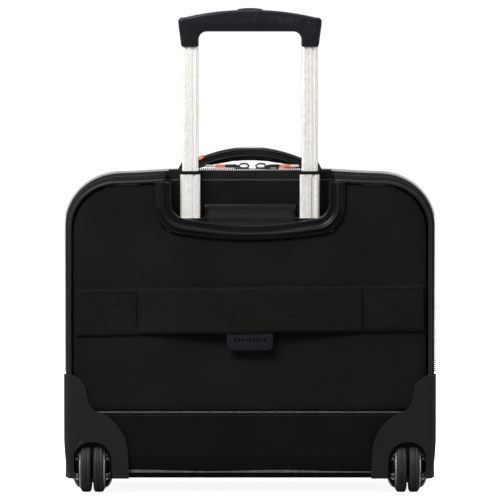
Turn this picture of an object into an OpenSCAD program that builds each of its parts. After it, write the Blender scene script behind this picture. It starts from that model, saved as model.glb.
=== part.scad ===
// Rolling laptop case: soft case on a stiff back board, with a three-stage telescopic handle,
// two pairs of wheels and a front section that folds down.
// +X is to the right when the back is faced, +Y points from the back to the front, +Z is up.

/* [Case] */
// Width of the case over its side gussets
case_w = 417; // [360:1:500]
// Height of the crown of the case above the floor
case_top = 364; // [330:1:440]
// Height of the underside of the case above the floor
case_bottom = 17; // [14:1:22]
// Depth from the back panel to the front panel
case_d = 188; // [160:1:240]
// Radius of the two upper corners
corner_r = 62; // [40:1:80]
// Thickness of the gusset walls
gusset_t = 4; // [3:0.5:6]
// Thickness of the back, lower and front panels
panel_t = 3; // [2:0.5:5]
// Thickness of the stiff back and base boards
board_t = 3; // [2:0.5:5]
// Height of the seam between the back panel and the lower panel
lower_seam_z = 90; // [70:1:110]

/* [Zips] */
// Depth of the laptop zip, behind the handle tray
laptop_zip_y = 38; // [38:1:48]
// Width of a closed zip, tape to tape
zip_w = 6; // [5:0.5:8]
// Depth at which the front section parts from the case
part_y = 140; // [115:1:160]
// Height that the zip chain stands proud of the fabric
chain_h = 1.2; // [0.8:0.1:2]
// Distance between the two sliders at the middle of the laptop zip
slider_gap = 19.3; // [16:0.1:30]
// Sideways place of the point where the two sliders meet
slider_x = 2.7; // [-10:0.1:10]
// Sideways place of the slider of the front section
section_slider_x = 22; // [-60:1:100]
// Length of a zip pull beyond its pivot
pull_len = 34; // [25:1:45]

/* [Front section] */
// Height of the lower edge of the front section
section_z = 62; // [50:1:80]
// Depth of the front pocket over the front panel
pocket_d = 10; // [8:0.5:20]
// Width of the front pocket
pocket_w = 340; // [260:1:360]
// Height of the front pocket
pocket_h = 190; // [120:1:220]

/* [Handle] */
// Distance between the centres of the handle tubes
tube_gap = 135; // [110:1:150]
// Depth of the tube centres behind the back panel
tube_y = 17.8; // [17:0.1:22]
// Width of an inner tube
inner_w = 18.4; // [15:0.1:22]
// Depth of an inner tube
inner_d = 14; // [12:0.1:16]
// Thickness of the tube walls
tube_t = 1.2; // [0.8:0.1:1.6]
// Running clearance between one tube and the next, on each side
tube_gap_fit = 1; // [0.5:0.1:1.5]
// Height at which the fixed tubes end in the tray
tube_foot_z = 310.4; // [295:0.1:340]
// Length of a middle tube
middle_len = 280; // [220:1:282]
// Length of an inner tube
inner_len = 282; // [220:1:290]
// How far the middle stage is pulled out of the fixed tubes
middle_out = 50; // [0:1:200]
// How far the grip is pulled out of the middle stage
inner_out = 139.8; // [0:0.1:200]
// How far the grip reaches out past the middle of each tube
grip_over = 13.5; // [11:0.5:20]
// Depth of the grip, front to back
grip_d = 22; // [19:0.5:25]
// Height of the grip, from its tube ends to the crown of its arch
grip_h = 42.2; // [38:0.1:46]
// Rise of the arch of the grip over its ends
grip_rise = 10.5; // [6:0.1:14]
// Thickness of the grip bar at the middle
grip_bar = 24.1; // [20:0.1:30]
// Length of the release button
button_len = 29; // [20:1:40]
// Travel of the release button
button_travel = 3; // [2:0.5:4]

/* [Handle housing] */
// Room beside the grip in its tray
tray_room_w = 8; // [4:0.5:15]
// Width of the bezel round the tray
bezel_w = 18.5; // [12:0.5:25]
// Height that the bezel stands proud of the back panel
bezel_proud = 7; // [4:0.5:9]
// Lowest point of the bezel
bezel_bottom_z = 284.8; // [270:0.1:300]
// Top of the bezel and of the tray
bezel_top_z = 351.4; // [340:0.1:400]
// Depth of the tray behind the back panel
tray_d = 29.3; // [29:0.1:33]

/* [Trolley band] */
// Height of the webbing band
band_h = 52; // [40:1:60]
// Height of the middle of the band above the floor
band_z = 207; // [190:1:230]
// Thickness of the webbing
band_t = 2; // [1.5:0.1:3]
// How far the middle of the band stands off the back panel
band_bow = 9; // [7:0.1:15]
// Length of each sewn end patch
patch_len = 74; // [50:1:90]
// Slope of the band, in degrees
band_tilt = 0.7; // [0:0.1:2]
// Width of the leather label
label_w = 52; // [30:1:70]
// Lowest point of the leather label
label_bottom_z = 162; // [150:1:170]

/* [Wheels] */
// Radius of a wheel
wheel_r = 30; // [25:0.5:32]
// Distance from the side of a guard to the middle of its wheel pair
wheel_inset = 32; // [29:0.5:40]
// Width of one tyre
tyre_w = 12; // [9:0.5:14]
// Width of the hub dome beside the tyre
hub_dome = 7; // [4:0.5:9]
// Gap between the two discs of a pair
disc_gap = 2.4; // [1.5:0.1:4]
// Radius of an axle
axle_r = 3; // [2.5:0.1:4]
// Depth of the axles behind the back panel
axle_y = 20; // [18:0.5:26]
// Running clearance of the hubs on the axles
axle_fit = 0.06; // [0.02:0.01:0.1]

/* [Corner guards] */
// Height of the tip of a corner guard
guard_top_z = 135; // [110:1:150]
// Distance from the side of the case to the middle of a front foot
foot_inset = 32; // [20:1:60]
// How far each corner guard stands out past the side gusset
guard_over = 1.5; // [1:0.1:4]
// Height of the wheel arch in the back of a corner guard
guard_arch_z = 58.4; // [52:0.1:66]
// Wall of a corner guard
guard_t = 3.2; // [2.5:0.1:4]
// How far the guards reach along the sides of the case
guard_d = 76; // [66:1:95]
// Height that the guards stand proud of the back panel
guard_proud = 5; // [4:0.5:8]

/* [Carry handle] */
// Half of the length of the carry handle
carry_half = 77; // [60:1:95]
// Thickness of the carry handle at its middle
carry_t = 13; // [9:0.5:18]
// Width of the carry handle, front to back
carry_w = 26; // [20:1:30]
// Height of the gap under the middle of the carry handle
carry_gap = 11; // [10:0.5:25]
// Depth of the carry handle behind the back panel
carry_y = 92; // [75:1:110]
// Radius of the pins that hold the carry handle
carry_pin_r = 2; // [1.5:0.1:3]

/* [Inside] */
// Thickness of the padded divider
divider_t = 6; // [4:0.5:10]
// Room for the laptop, front to back
laptop_room = 26; // [20:1:40]
// Height of the divider above the base board
divider_h = 235; // [180:1:260]

/* [Hidden] */
$fn = 64;

// clearances: between pieces that move, between pieces that are sewn or screwed, and between faces that meet
gap = 0.4;
seam = 0.2;
touch = 0.05;

// depth of the whole case, and the shift that centres it on Y
label_t = 2;
y_low = -(band_bow + band_t + label_t + seam + touch);
y_high = case_d + pocket_d;
shift_y = -(y_low + y_high) / 2;

// outline of the case
half_w = case_w / 2;
side_inset = 5;
top_inset = 10.5;
shoulder_d = 25;
base_low = case_bottom + guard_t + touch;
base_top = base_low + board_t;
inner_half = half_w - gusset_t;
panel_half = half_w - side_inset - 3;
panel_top = case_top - top_inset - 2.1;

// telescopic handle
grip_half = tube_gap / 2 + grip_over;
tray_half = grip_half + tray_room_w;
bezel_half = tray_half + bezel_w;
middle_w = inner_w + 2 * (tube_gap_fit + tube_t);
middle_d = inner_d + 2 * (tube_gap_fit + tube_t);
fixed_w = middle_w + 2 * (tube_gap_fit + tube_t);
fixed_d = middle_d + 2 * (tube_gap_fit + tube_t);
fixed_bottom_z = base_top + seam;
foot_y = panel_t + seam + board_t + touch;
collar_h = 2.7;
middle_top_z = tube_foot_z + gap + middle_out;
grip_bottom_z = middle_top_z + collar_h + inner_out;
grip_top_z = grip_bottom_z + grip_h;
inner_bottom_z = grip_bottom_z + 10 - inner_len;

// wheels and guards
guard_half = half_w + guard_over;
wheel_track = 2 * (guard_half - wheel_inset);
axle_z = wheel_r;
disc_w = tyre_w + hub_dome;
well_half = disc_w + disc_gap / 2 + 2.4;
well_r = wheel_r + 4;
well_t = 2.6;
guard_in = wheel_track / 2 - 42;

function mirror_sides() = [-1, 1];

// Moves a shape drawn with the back panel's outer face at y = 0 to its place
module place() {
    translate([0, shift_y, 0]) children();
}

// Draws a 2-D outline (x across, y up) as a slab between two depths
module slab(y0, y1) {
    translate([0, y1, 0]) rotate([90, 0, 0]) linear_extrude(y1 - y0) children();
}

// Rounded rectangle standing on its lower edge, with one radius for the top corners and one for the lower
module arch_2d(half, low, high, r_top, r_low) {
    union() {
        translate([-half + r_top, high - r_top]) circle(r_top);
        translate([half - r_top, high - r_top]) circle(r_top);
        translate([-half + r_low, low + r_low]) circle(r_low);
        translate([half - r_low, low + r_low]) circle(r_low);
        translate([-half, low + r_low]) square([2 * half, high - low - r_top - r_low]);
        translate([-half + r_low, low]) square([2 * (half - r_low), high - low - r_top]);
        translate([-half + r_top, low + r_low]) square([2 * (half - r_top), high - low - r_low]);
    }
}

// Outline of the case at one depth, drawn in by the given amounts at the sides and the top
module case_2d(side_in, top_in, low, r_low) {
    arch_2d(half_w - side_in, low, case_top - top_in, corner_r - (side_in + top_in) / 2, r_low);
}

// One end of a rounded case shell: straight from y0 to y1, then drawn in over a shoulder to y2
module shell_end(y0, y1, y2, low, r_low, wall) {
    reach = y2 - y1;
    hull() {
        slab(min(y0, y1), max(y0, y1)) case_2d(wall, wall, low + wall, r_low);
        for (s = [[0.5, 0.16], [0.84, 0.55], [1, 1]])
            slab(y1 + reach * s[0] - 0.05, y1 + reach * s[0] + 0.05)
                case_2d(wall + side_inset * s[1], wall + top_inset * s[1], low + wall, r_low);
    }
}

// Everything below a height, cut away from a gusset that has no floor of its own
module below(z) {
    translate([-600, -100, z - 300]) cube([1200, 600, 300]);
}

// Room for the handle tray, open at the top
module tray_room(extra) {
    translate([-tray_half - 3 - extra, -60, tube_foot_z - 14 - extra])
        cube([2 * (tray_half + 3 + extra), 60 + tray_d + 2.5 + extra, 200]);
}

// ---- Corner guards ----

// Back view of a guard on the right: a tip at the side that sweeps down to a lobe inside the wheels
module guard_back_2d() {
    g = guard_half;
    polygon([
        [guard_in, case_bottom], [g - 6, case_bottom], [g - 4, case_bottom + 2], [g, 60],
        [g, guard_top_z - 1],
        [g - 2, guard_top_z], [g - 9, guard_top_z - 1], [g - 17, guard_top_z - 4], [g - 23, guard_top_z - 10],
        [g - 26, guard_top_z - 18], [g - 28.5, guard_top_z - 29], [g - 34, guard_top_z - 38],
        [g - 44, guard_top_z - 44.5], [g - 56, guard_top_z - 53], [g - 66, guard_top_z - 64],
        [guard_in + 4.5, guard_top_z - 75], [guard_in + 1.4, guard_top_z - 89]
    ]);
}

// Side view of a guard, drawn with y across and z up: highest at the back edge
module guard_side_2d() {
    d = guard_d;
    polygon([
        [-20, case_bottom - 5], [d - 8, case_bottom - 5], [d - 2, case_bottom + 8], [d, case_bottom + 24],
        [d - 3, case_bottom + 38], [d - 12, case_bottom + 51], [d - 24, case_bottom + 60],
        [d - 36, case_bottom + 71],
        [d - 44, case_bottom + 85], [d - 50, case_bottom + 101], [d - 58, case_bottom + 112],
        [d - 68, guard_top_z - 1], [-20, guard_top_z + 3]
    ]);
}

// Plan of the outside of a guard, with its rounded back corner
module guard_plan_2d(t) {
    r = 11 - t;
    union() {
        translate([guard_in - 10, -guard_proud + t]) square([guard_half - guard_in + 10 - 11, guard_d + 30]);
        translate([guard_in - 10, 11 - guard_proud]) square([guard_half - guard_in + 10 - t, guard_d + 30]);
        translate([guard_half - 11, 11 - guard_proud]) circle(r);
    }
}

// The wheel well's shape, grown by t: an arch in the back view and a circle in the side view
module well_shape(t) {
    intersection() {
        slab(guard_t - guard_proud - t - touch, 200) translate([wheel_track / 2, 0])
            arch_2d(well_half + t, -20, axle_z + well_r + t, 15, 2);
        translate([wheel_track / 2 - 60, 0, 0]) rotate([90, 0, 90]) linear_extrude(120) union() {
            translate([axle_y, axle_z]) circle(well_r + t);
            translate([axle_y - well_r - t, -20]) square([2 * (well_r + t), 20 + axle_z]);
        }
    }
}

module guard() {
    difference() {
        union() {
            intersection() {
                difference() {
                    translate([0, 0, case_bottom])
                        linear_extrude(guard_top_z - case_bottom + 5) guard_plan_2d(0);
                    translate([0, 0, case_bottom + guard_t]) linear_extrude(300) guard_plan_2d(guard_t);
                }
                slab(-40, 200) guard_back_2d();
                rotate([90, 0, 90]) linear_extrude(400) guard_side_2d();
            }
            intersection() {
                well_shape(well_t);
                translate([0, guard_t - guard_proud - touch, case_bottom])
                    cube([guard_half - guard_t / 2, 200, 200]);
            }
        }
        well_shape(0);
        slab(-40, guard_t - guard_proud)
            translate([wheel_track / 2, 0]) arch_2d(well_half, -20, guard_arch_z, 15, 2);
        translate([0, axle_y, axle_z]) rotate([0, 90, 0])
            cylinder(r = axle_r + 0.02, h = guard_half - guard_t - 1);
    }
}

// Room for a guard's wheel well inside the case
module well_room() {
    for (s = mirror_sides()) mirror([s < 0 ? 1 : 0, 0, 0])
        intersection() {
            well_shape(well_t + seam);
            translate([0, -40, -1]) cube([600, 240, 200]);
        }
}

// Room for the guards' side walls, let into the gussets
module guard_room() {
    for (s = mirror_sides()) mirror([s < 0 ? 1 : 0, 0, 0])
        intersection() {
            translate([guard_half - guard_t - seam, -20, 0]) cube([20, guard_d + 40, guard_top_z + 6]);
            translate([0, gap, gap]) rotate([90, 0, 90]) linear_extrude(600) guard_side_2d();
        }
}

module guard_left() {
    color([0.17, 0.16, 0.17]) place() mirror([1, 0, 0]) guard();
}

module guard_right() {
    color([0.17, 0.16, 0.17]) place() guard();
}

// ---- Case body ----

module back_board() {
    color([0.25, 0.25, 0.26]) place() difference() {
        slab(panel_t + seam, panel_t + seam + board_t)
            arch_2d(panel_half - 2, base_top + seam, panel_top - 3, corner_r - 6, 3);
        tray_room(seam);
        well_room();
    }
}

module back_panel() {
    color([0.13, 0.13, 0.14]) place() difference() {
        slab(0, panel_t) arch_2d(panel_half, lower_seam_z + 0.1, panel_top, corner_r - 7, 0.5);
        tray_room(seam);
        well_room();
    }
}

module lower_panel() {
    color([0.08, 0.08, 0.09]) place() difference() {
        union() {
            slab(0, panel_t)
                translate([-panel_half, case_bottom + 6])
                    square([2 * panel_half, lower_seam_z - case_bottom - 6.1]);
            translate([-panel_half, 6, case_bottom]) cube([2 * panel_half, case_d / 2 - 6, panel_t]);
            intersection() {
                translate([-panel_half, 6, case_bottom + 6]) rotate([0, 90, 0]) difference() {
                    cylinder(r = 6, h = 2 * panel_half);
                    translate([0, 0, -1]) cylinder(r = 3, h = 2 * panel_half + 2);
                }
                translate([-panel_half, 0, case_bottom]) cube([2 * panel_half, 6, 6]);
            }
        }
        well_room();
        for (s = mirror_sides()) mirror([s < 0 ? 1 : 0, 0, 0])
            translate([guard_in - seam, -20, case_bottom - 1]) cube([200, guard_d + 22, guard_t + 1 + seam]);
    }
}

// A round bead that follows an arch: straight sides, two top corners and a straight top
module bead(half, low, high, r_corner, r) {
    for (s = mirror_sides()) mirror([s < 0 ? 1 : 0, 0, 0]) {
        translate([half, 0, low]) cylinder(r = r, h = high - r_corner - low);
        translate([half - r_corner, 0, high - r_corner]) rotate([90, 0, 0])
            rotate_extrude(angle = 90) translate([r_corner, 0]) circle(r);
    }
    translate([-half + r_corner, 0, high]) rotate([0, 90, 0]) cylinder(r = r, h = 2 * (half - r_corner));
}

module back_piping() {
    color([0.1, 0.1, 0.11]) place() difference() {
        translate([0, 0.6, 0])
            bead(panel_half + 2.4, guard_top_z + 4, panel_top + 2.4, corner_r - 5, 2.1);
        tray_room(seam);
        translate([-bezel_half - seam, -20, bezel_bottom_z]) cube([2 * (bezel_half + seam), 21, 200]);
    }
}

module rear_gusset() {
    color([0.12, 0.12, 0.13]) place() difference() {
        shell_end(laptop_zip_y - zip_w / 2, shoulder_d, 3.2, base_top, 3, 0);
        shell_end(laptop_zip_y + 5, shoulder_d, -2, base_top - 30, 3, gusset_t);
        below(base_top + seam);
        tray_room(seam);
        guard_room();
        well_room();
    }
}

// A ring of the case's outline between two depths and two insets
module ring(y0, y1, out_in, wall, low) {
    difference() {
        slab(y0, y1) case_2d(out_in, out_in, low, 3);
        slab(y0 - 1, y1 + 1) case_2d(out_in + wall, out_in + wall, low - 20, 3);
    }
}

module laptop_zip() {
    color([0.07, 0.07, 0.08]) place() difference() {
        union() {
            ring(laptop_zip_y - zip_w / 2 + 0.05, laptop_zip_y + zip_w / 2 - 0.05, 0, gusset_t - 1, base_top);
            ring(laptop_zip_y - 2, laptop_zip_y + 2, -chain_h, gusset_t, base_top);
        }
        below(guard_top_z + 6);
    }
}

module main_gusset() {
    color([0.12, 0.12, 0.13]) place() difference() {
        union() {
            ring(laptop_zip_y + zip_w / 2, part_y - zip_w / 2, 0, gusset_t, base_top);
            intersection() {
                ring(laptop_zip_y - zip_w / 2, laptop_zip_y + zip_w / 2 + 0.05, 0, gusset_t, base_top);
                below(guard_top_z + 5.9);
            }
        }
        below(base_top + seam);
        guard_room();
        well_room();
    }
}

module base_board() {
    color([0.2, 0.2, 0.21]) place() difference() {
        translate([-half_w + gusset_t, 6.5, base_low])
            cube([2 * (half_w - gusset_t), case_d - panel_t - seam - 6.5, board_t]);
        well_room();
    }
}

// Leatherette toe of the case below the front section
module kick_panel() {
    top = section_z - gap;
    color([0.08, 0.08, 0.09]) place() union() {
        difference() {
            slab(part_y - zip_w / 2 + seam, case_d) arch_2d(half_w, case_bottom, top, 3, 6);
            slab(part_y - 50, case_d - panel_t)
                translate([-inner_half, base_top + seam])
                    square([2 * inner_half, top - panel_t - base_top - seam]);
            slab(part_y - 50, case_d - panel_t)
                translate([-inner_half, case_bottom + panel_t]) square([2 * inner_half, board_t + 1]);
        }
        translate([-inner_half, case_d / 2 + seam, case_bottom])
            cube([2 * inner_half, case_d / 2 - 12, panel_t]);
    }
}

module section_zip_rear() {
    color([0.07, 0.07, 0.08]) place() difference() {
        union() {
            ring(part_y - zip_w / 2 + 0.05, part_y - gap / 2, 0, gusset_t - 1, section_z);
            ring(part_y - 2, part_y - gap / 2, -chain_h, gusset_t, section_z);
        }
        below(section_z + 6);
    }
}

// ---- Front section ----

module front_gusset() {
    color([0.12, 0.12, 0.13]) place() difference() {
        shell_end(part_y + zip_w / 2, case_d - shoulder_d, case_d - panel_t, section_z, 20, 0);
        shell_end(part_y - 5, case_d - shoulder_d, case_d + 2, section_z, 16, gusset_t);
    }
}

module front_panel() {
    color([0.13, 0.13, 0.14]) place() slab(case_d - panel_t + 0.05, case_d)
        arch_2d(half_w - side_inset - 3, section_z + 4.4, panel_top, corner_r - 6, 17);
}

module front_piping() {
    half = half_w - side_inset - 0.6;
    color([0.1, 0.1, 0.11]) place() translate([0, case_d - 0.8, 0]) {
        bead(half, section_z + 20, panel_top + 2.4, corner_r - 5, 2.1);
        mirror([0, 0, 1]) translate([0, 0, -2 * section_z - 40])
            bead(half, section_z + 20 - 0.1, section_z + 38, 17.9, 2.1);
    }
}

// Slip pocket on the front panel, open at its top
module front_pocket() {
    low = section_z + 24;
    color([0.14, 0.14, 0.15]) place() difference() {
        slab(case_d + 0.05, case_d + pocket_d) arch_2d(pocket_w / 2, low, low + pocket_h, 6, 24);
        slab(case_d - 1, case_d + pocket_d - 2.5)
            arch_2d(pocket_w / 2 - 4, low + 4, low + pocket_h + 60, 6, 20);
    }
}

module section_zip_front() {
    color([0.07, 0.07, 0.08]) place() difference() {
        union() {
            ring(part_y + gap / 2, part_y + zip_w / 2 - 0.05, 0, gusset_t - 1, section_z);
            ring(part_y + gap / 2, part_y + 2, -chain_h, gusset_t, section_z);
        }
        below(section_z + 24);
    }
}

// ---- Trolley band ----

// Depth of the band's inner face at x: flat on its patches, bowed off the panel between them
function band_face(x) =
    let (reach = band_loose)
    abs(x) >= reach ? 0 : band_bow * (1 - pow(abs(x) / reach, 4));

band_half = panel_half - 1;
band_loose = band_half - patch_len;

// Turns a band piece about its middle by the band's slope
module tilt() {
    translate([0, 0, band_z]) rotate([0, -band_tilt, 0]) children();
}

module trolley_band() {
    steps = 32;
    xs = [for (i = [0:steps]) -band_loose + 2 * band_loose * i / steps];
    outer = [for (x = xs) [x, -band_face(x) - band_t - seam]];
    inner = [for (i = [steps:-1:0]) [xs[i], -band_face(xs[i]) - seam]];
    color([0.1, 0.1, 0.1]) place() tilt()
        translate([0, 0, -band_h / 2]) linear_extrude(band_h) polygon(concat(outer, inner));
}

module band_patches() {
    color([0.1, 0.1, 0.1]) place() tilt()
        for (s = mirror_sides()) mirror([s < 0 ? 1 : 0, 0, 0])
            translate([band_loose + 0.05, -band_t - seam, -band_h / 2])
                cube([patch_len - 4, band_t + seam - 0.05, band_h]);
}

module band_label() {
    y = -band_bow - band_t - seam - touch;
    color([0.12, 0.14, 0.17]) place()
        slab(y - label_t, y) arch_2d(label_w / 2, label_bottom_z, band_z - band_h / 2 + 13, 2, 7);
}

// ---- Handle housing ----

// Outline of the bezel: square at the top, with large lower corners and a shallow arc between them
module bezel_2d(half, low, dip, r) {
    intersection() {
        translate([-half, low - 20]) square([2 * half, bezel_top_z - low + 20]);
        union() {
            arch_2d(half, low + dip, bezel_top_z + 60, 3, r);
            intersection() {
                sag_r = (pow(half - r, 2) + pow(dip, 2)) / (2 * dip);
                translate([0, low + sag_r]) circle(sag_r, $fn = 360);
                translate([-half + r, low - 1]) square([2 * (half - r), 60]);
            }
        }
    }
}

module handle_bezel() {
    color([0.06, 0.06, 0.06]) place() difference() {
        union() {
            slab(-bezel_proud + 2.5, -seam) bezel_2d(bezel_half, bezel_bottom_z, 6, 34);
            slab(-bezel_proud, -bezel_proud + 2.6) bezel_2d(bezel_half - 6, bezel_bottom_z + 5, 6, 31);
        }
        slab(-60, 60) bezel_2d(tray_half, bezel_bottom_z + 19.2, 6, 12);
        slab(-60, 60) translate([-tray_half, bezel_top_z - 6]) square([2 * tray_half, 60]);
    }
}

// Recess that the grip sinks into, with a sloped ledge between the tube feet
module handle_tray() {
    wall = 2.5;
    low = tube_foot_z - 12;
    color([0.08, 0.08, 0.08]) place() difference() {
        union() {
            difference() {
                translate([-tray_half - wall, -seam, low])
                    cube([2 * (tray_half + wall), tray_d + wall + seam, bezel_top_z - low]);
                translate([-tray_half, -10, low + wall + 3]) cube([2 * tray_half, tray_d + 10, 200]);
            }
            for (s = mirror_sides())
                translate([s * tube_gap / 2 - fixed_w / 2 - 4, 1.5, low]) cube([fixed_w + 8, tray_d - 1, 12]);
            translate([-tube_gap / 2 + fixed_w / 2 + 8, 0, low]) rotate([90, 0, 90])
                linear_extrude(tube_gap - fixed_w - 16)
                    polygon([[tray_d + 0.5, 5], [tray_d + 0.5, 20], [tray_d - 3, 19], [4, 7], [4, 5]]);
        }
        for (s = mirror_sides())
            translate([s * tube_gap / 2 - fixed_w / 2 - seam, tube_y - fixed_d / 2 - seam, low - 1])
                cube([fixed_w + 2 * seam, fixed_d + 2 * seam, 60]);
        for (s = mirror_sides()) for (x = [-1, 1])
            translate([s * tube_gap / 2 + x * (fixed_w / 2 + 2.4), tray_d - 4, low - 1])
                cylinder(r = 1.3, h = 14);
    }
}

// Rectangular tube with rounded corners, hollow all the way
module tube(w, d, low, high, bore_w, bore_d) {
    translate([0, 0, low]) linear_extrude(high - low) difference() {
        tube_2d(w, d, 3.2);
        tube_2d(bore_w, bore_d, 2);
    }
}

module tube_2d(w, d, r) {
    union() {
        for (x = [-1, 1]) for (y = [-1, 1]) translate([x * (w / 2 - r), y * (d / 2 - r)]) circle(r);
        square([w - 2 * r, d], center = true);
        square([w, d - 2 * r], center = true);
    }
}

module at_tube(s) {
    translate([s * tube_gap / 2, tube_y, 0]) children();
}

module fixed_tube(s) {
    color([0.6, 0.6, 0.61]) place() at_tube(s)
        tube(fixed_w, fixed_d, fixed_bottom_z + 3, tube_foot_z, fixed_w - 2 * tube_t, fixed_d - 2 * tube_t);
}

module fixed_tube_left() {
    fixed_tube(-1);
}

module fixed_tube_right() {
    fixed_tube(1);
}

// Bracket under both fixed tubes, fixed to the base board
module tube_foot() {
    w = tube_gap + fixed_w + 14;
    color([0.1, 0.1, 0.1]) place() difference() {
        translate([-w / 2, foot_y, fixed_bottom_z]) cube([w, tube_y + fixed_d / 2 + 2 - foot_y, 22]);
        for (s = mirror_sides()) at_tube(s) translate([0, 0, fixed_bottom_z + 3]) linear_extrude(40)
            tube_2d(fixed_w + 2 * seam, fixed_d + 2 * seam, 3.2);
        translate([-tube_gap / 2 + fixed_w / 2 + 5, tube_y - fixed_d / 2 - 3, fixed_bottom_z + 4])
            cube([tube_gap - fixed_w - 10, fixed_d + 6, 40]);
        for (x = [-1, 1]) translate([x * (tube_gap - fixed_w - 24) / 2, tube_y, fixed_bottom_z - 1])
            cylinder(r = 1.6, h = 10);
    }
}

module middle_tube(s) {
    color([0.82, 0.81, 0.78]) place() at_tube(s) difference() {
        tube(middle_w, middle_d, middle_top_z - middle_len, middle_top_z,
            middle_w - 2 * tube_t, middle_d - 2 * tube_t);
        translate([0, 0, middle_top_z - 40]) rotate([0, s * 90, 0]) cylinder(r = 2.4, h = 30);
    }
}

module middle_tube_left() {
    middle_tube(-1);
}

module middle_tube_right() {
    middle_tube(1);
}

module middle_collars() {
    color([0.08, 0.08, 0.08]) place() for (s = mirror_sides()) at_tube(s)
        tube(middle_w - gap, middle_d - gap, middle_top_z, middle_top_z + collar_h,
            inner_w + gap, inner_d + gap);
}

module inner_tube(s) {
    color([0.86, 0.85, 0.82]) place() at_tube(s) difference() {
        tube(inner_w, inner_d, inner_bottom_z, inner_bottom_z + inner_len,
            inner_w - 2 * tube_t, inner_d - 2 * tube_t);
        translate([0, 0, inner_bottom_z + 10]) rotate([0, s * 90, 0]) cylinder(r = 2.2, h = 30);
    }
}

module inner_tube_left() {
    inner_tube(-1);
}

module inner_tube_right() {
    inner_tube(1);
}

// Plugs in the lower ends of the inner tubes, with the bores of the lock pins
module tube_plugs() {
    color([0.12, 0.12, 0.12]) place() for (s = mirror_sides()) at_tube(s) difference() {
        translate([0, 0, inner_bottom_z + 0.5]) linear_extrude(20)
            tube_2d(inner_w - 2 * tube_t - 0.1, inner_d - 2 * tube_t - 0.1, 2);
        translate([0, 0, inner_bottom_z + 10]) rotate([0, s * 90, 0]) cylinder(r = 2.05, h = 30);
        translate([0, 0, inner_bottom_z + 10]) rotate([0, -s * 90, 0]) cylinder(r = 2.05, h = 5);
        translate([0, 0, inner_bottom_z + 12]) cylinder(r = 2.3, h = 30);
    }
}

module lock_pin(s) {
    reach = middle_w / 2 - tube_t - gap;
    color([0.7, 0.7, 0.72]) place() at_tube(s)
        translate([0, 0, inner_bottom_z + 10]) rotate([0, s * 90, 0])
            cylinder(r = 2, h = reach);
}

module lock_pin_left() {
    lock_pin(-1);
}

module lock_pin_right() {
    lock_pin(1);
}

// ---- Grip ----

grip_y0 = tube_y - grip_d / 2;
grip_in = tube_gap / 2 - inner_w / 2;
yoke_z = grip_top_z - 16;

module grip_outline_2d() {
    arch_r = (pow(grip_half, 2) + pow(grip_rise, 2)) / (2 * grip_rise);
    difference() {
        intersection() {
            polygon([
                [-tube_gap / 2 - inner_w / 2 - 0.8, grip_bottom_z], [-grip_half + 1, grip_bottom_z + 10],
                [-grip_half, grip_bottom_z + 26], [-grip_half, grip_top_z + 5], [grip_half, grip_top_z + 5],
                [grip_half, grip_bottom_z + 26], [grip_half - 1, grip_bottom_z + 10],
                [tube_gap / 2 + inner_w / 2 + 0.8, grip_bottom_z]
            ]);
            translate([0, grip_top_z - arch_r]) circle(arch_r, $fn = 360);
        }
        arch_2d(grip_in, grip_bottom_z - 30, grip_top_z - grip_bar, 8, 2);
    }
}

// Side profile that rounds the long edges of the grip
module grip_side_2d() {
    r = 7;
    union() {
        translate([grip_y0, grip_bottom_z - 1]) square([grip_d, grip_h - r + 1]);
        translate([grip_y0 + r, grip_bottom_z - 1]) square([grip_d - 2 * r, grip_h + 1]);
        translate([grip_y0 + r, grip_top_z - r]) circle(r);
        translate([grip_y0 + grip_d - r, grip_top_z - r]) circle(r);
    }
}

// Parts of the shoulders that hold the light inserts
module insert_shape(grow) {
    arch_r = (pow(grip_half, 2) + pow(grip_rise, 2)) / (2 * grip_rise);
    for (s = mirror_sides()) mirror([s < 0 ? 1 : 0, 0, 0]) intersection() {
        slab(grip_y0 + 3 - grow, grip_y0 + grip_d - 3 + grow) difference() {
            translate([0, grip_top_z - arch_r]) circle(arch_r, $fn = 360);
            translate([0, grip_top_z - arch_r - 2.6 - grow]) circle(arch_r, $fn = 360);
        }
        translate([31 - grow, -50, grip_bottom_z]) cube([45 + 2 * grow, 200, 100]);
    }
}

module grip_body() {
    color([0.05, 0.05, 0.06]) place() difference() {
        intersection() {
            slab(grip_y0, grip_y0 + grip_d) grip_outline_2d();
            translate([-200, 0, 0]) rotate([90, 0, 90]) linear_extrude(400) grip_side_2d();
        }
        insert_shape(0.1);
        translate([-button_len / 2 - gap, tube_y - 6 - gap, yoke_z - button_travel - 1])
            cube([button_len + 2 * gap, 12 + 2 * gap, 60]);
        translate([-tube_gap / 2 - 4, tube_y - 3 - gap, yoke_z - button_travel - 1])
            cube([tube_gap + 8, 6 + 2 * gap, 5 + button_travel]);
        for (s = mirror_sides()) at_tube(s) {
            translate([0, 0, grip_bottom_z - 1])
                linear_extrude(11.2) tube_2d(inner_w + 0.1, inner_d + 0.1, 3.2);
            translate([0, 0, grip_bottom_z]) cylinder(r = 2.6, h = yoke_z - grip_bottom_z);
        }
    }
}

module grip_inserts() {
    color([0.62, 0.62, 0.6]) place() intersection() {
        insert_shape(0);
        translate([-200, 0, 0]) rotate([90, 0, 90]) linear_extrude(400) grip_side_2d();
    }
}

module release_button() {
    color([0.05, 0.05, 0.05]) place() intersection() {
        translate([-button_len / 2, tube_y - 6, yoke_z + 3.1]) cube([button_len, 12, 15.2]);
        slab(tube_y - 10, tube_y + 10) translate([0, grip_top_z + 2.1 - 90]) circle(90, $fn = 180);
    }
}

// Yoke under the button, with a rod down each inner tube
module push_rods() {
    color([0.55, 0.55, 0.56]) place() {
        translate([-tube_gap / 2 - 3, tube_y - 3, yoke_z]) cube([tube_gap + 6, 6, 3]);
        for (s = mirror_sides()) at_tube(s) translate([0, 0, inner_bottom_z + 17])
            cylinder(r = 1.8, h = yoke_z - inner_bottom_z - 16.9);
    }
}

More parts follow.
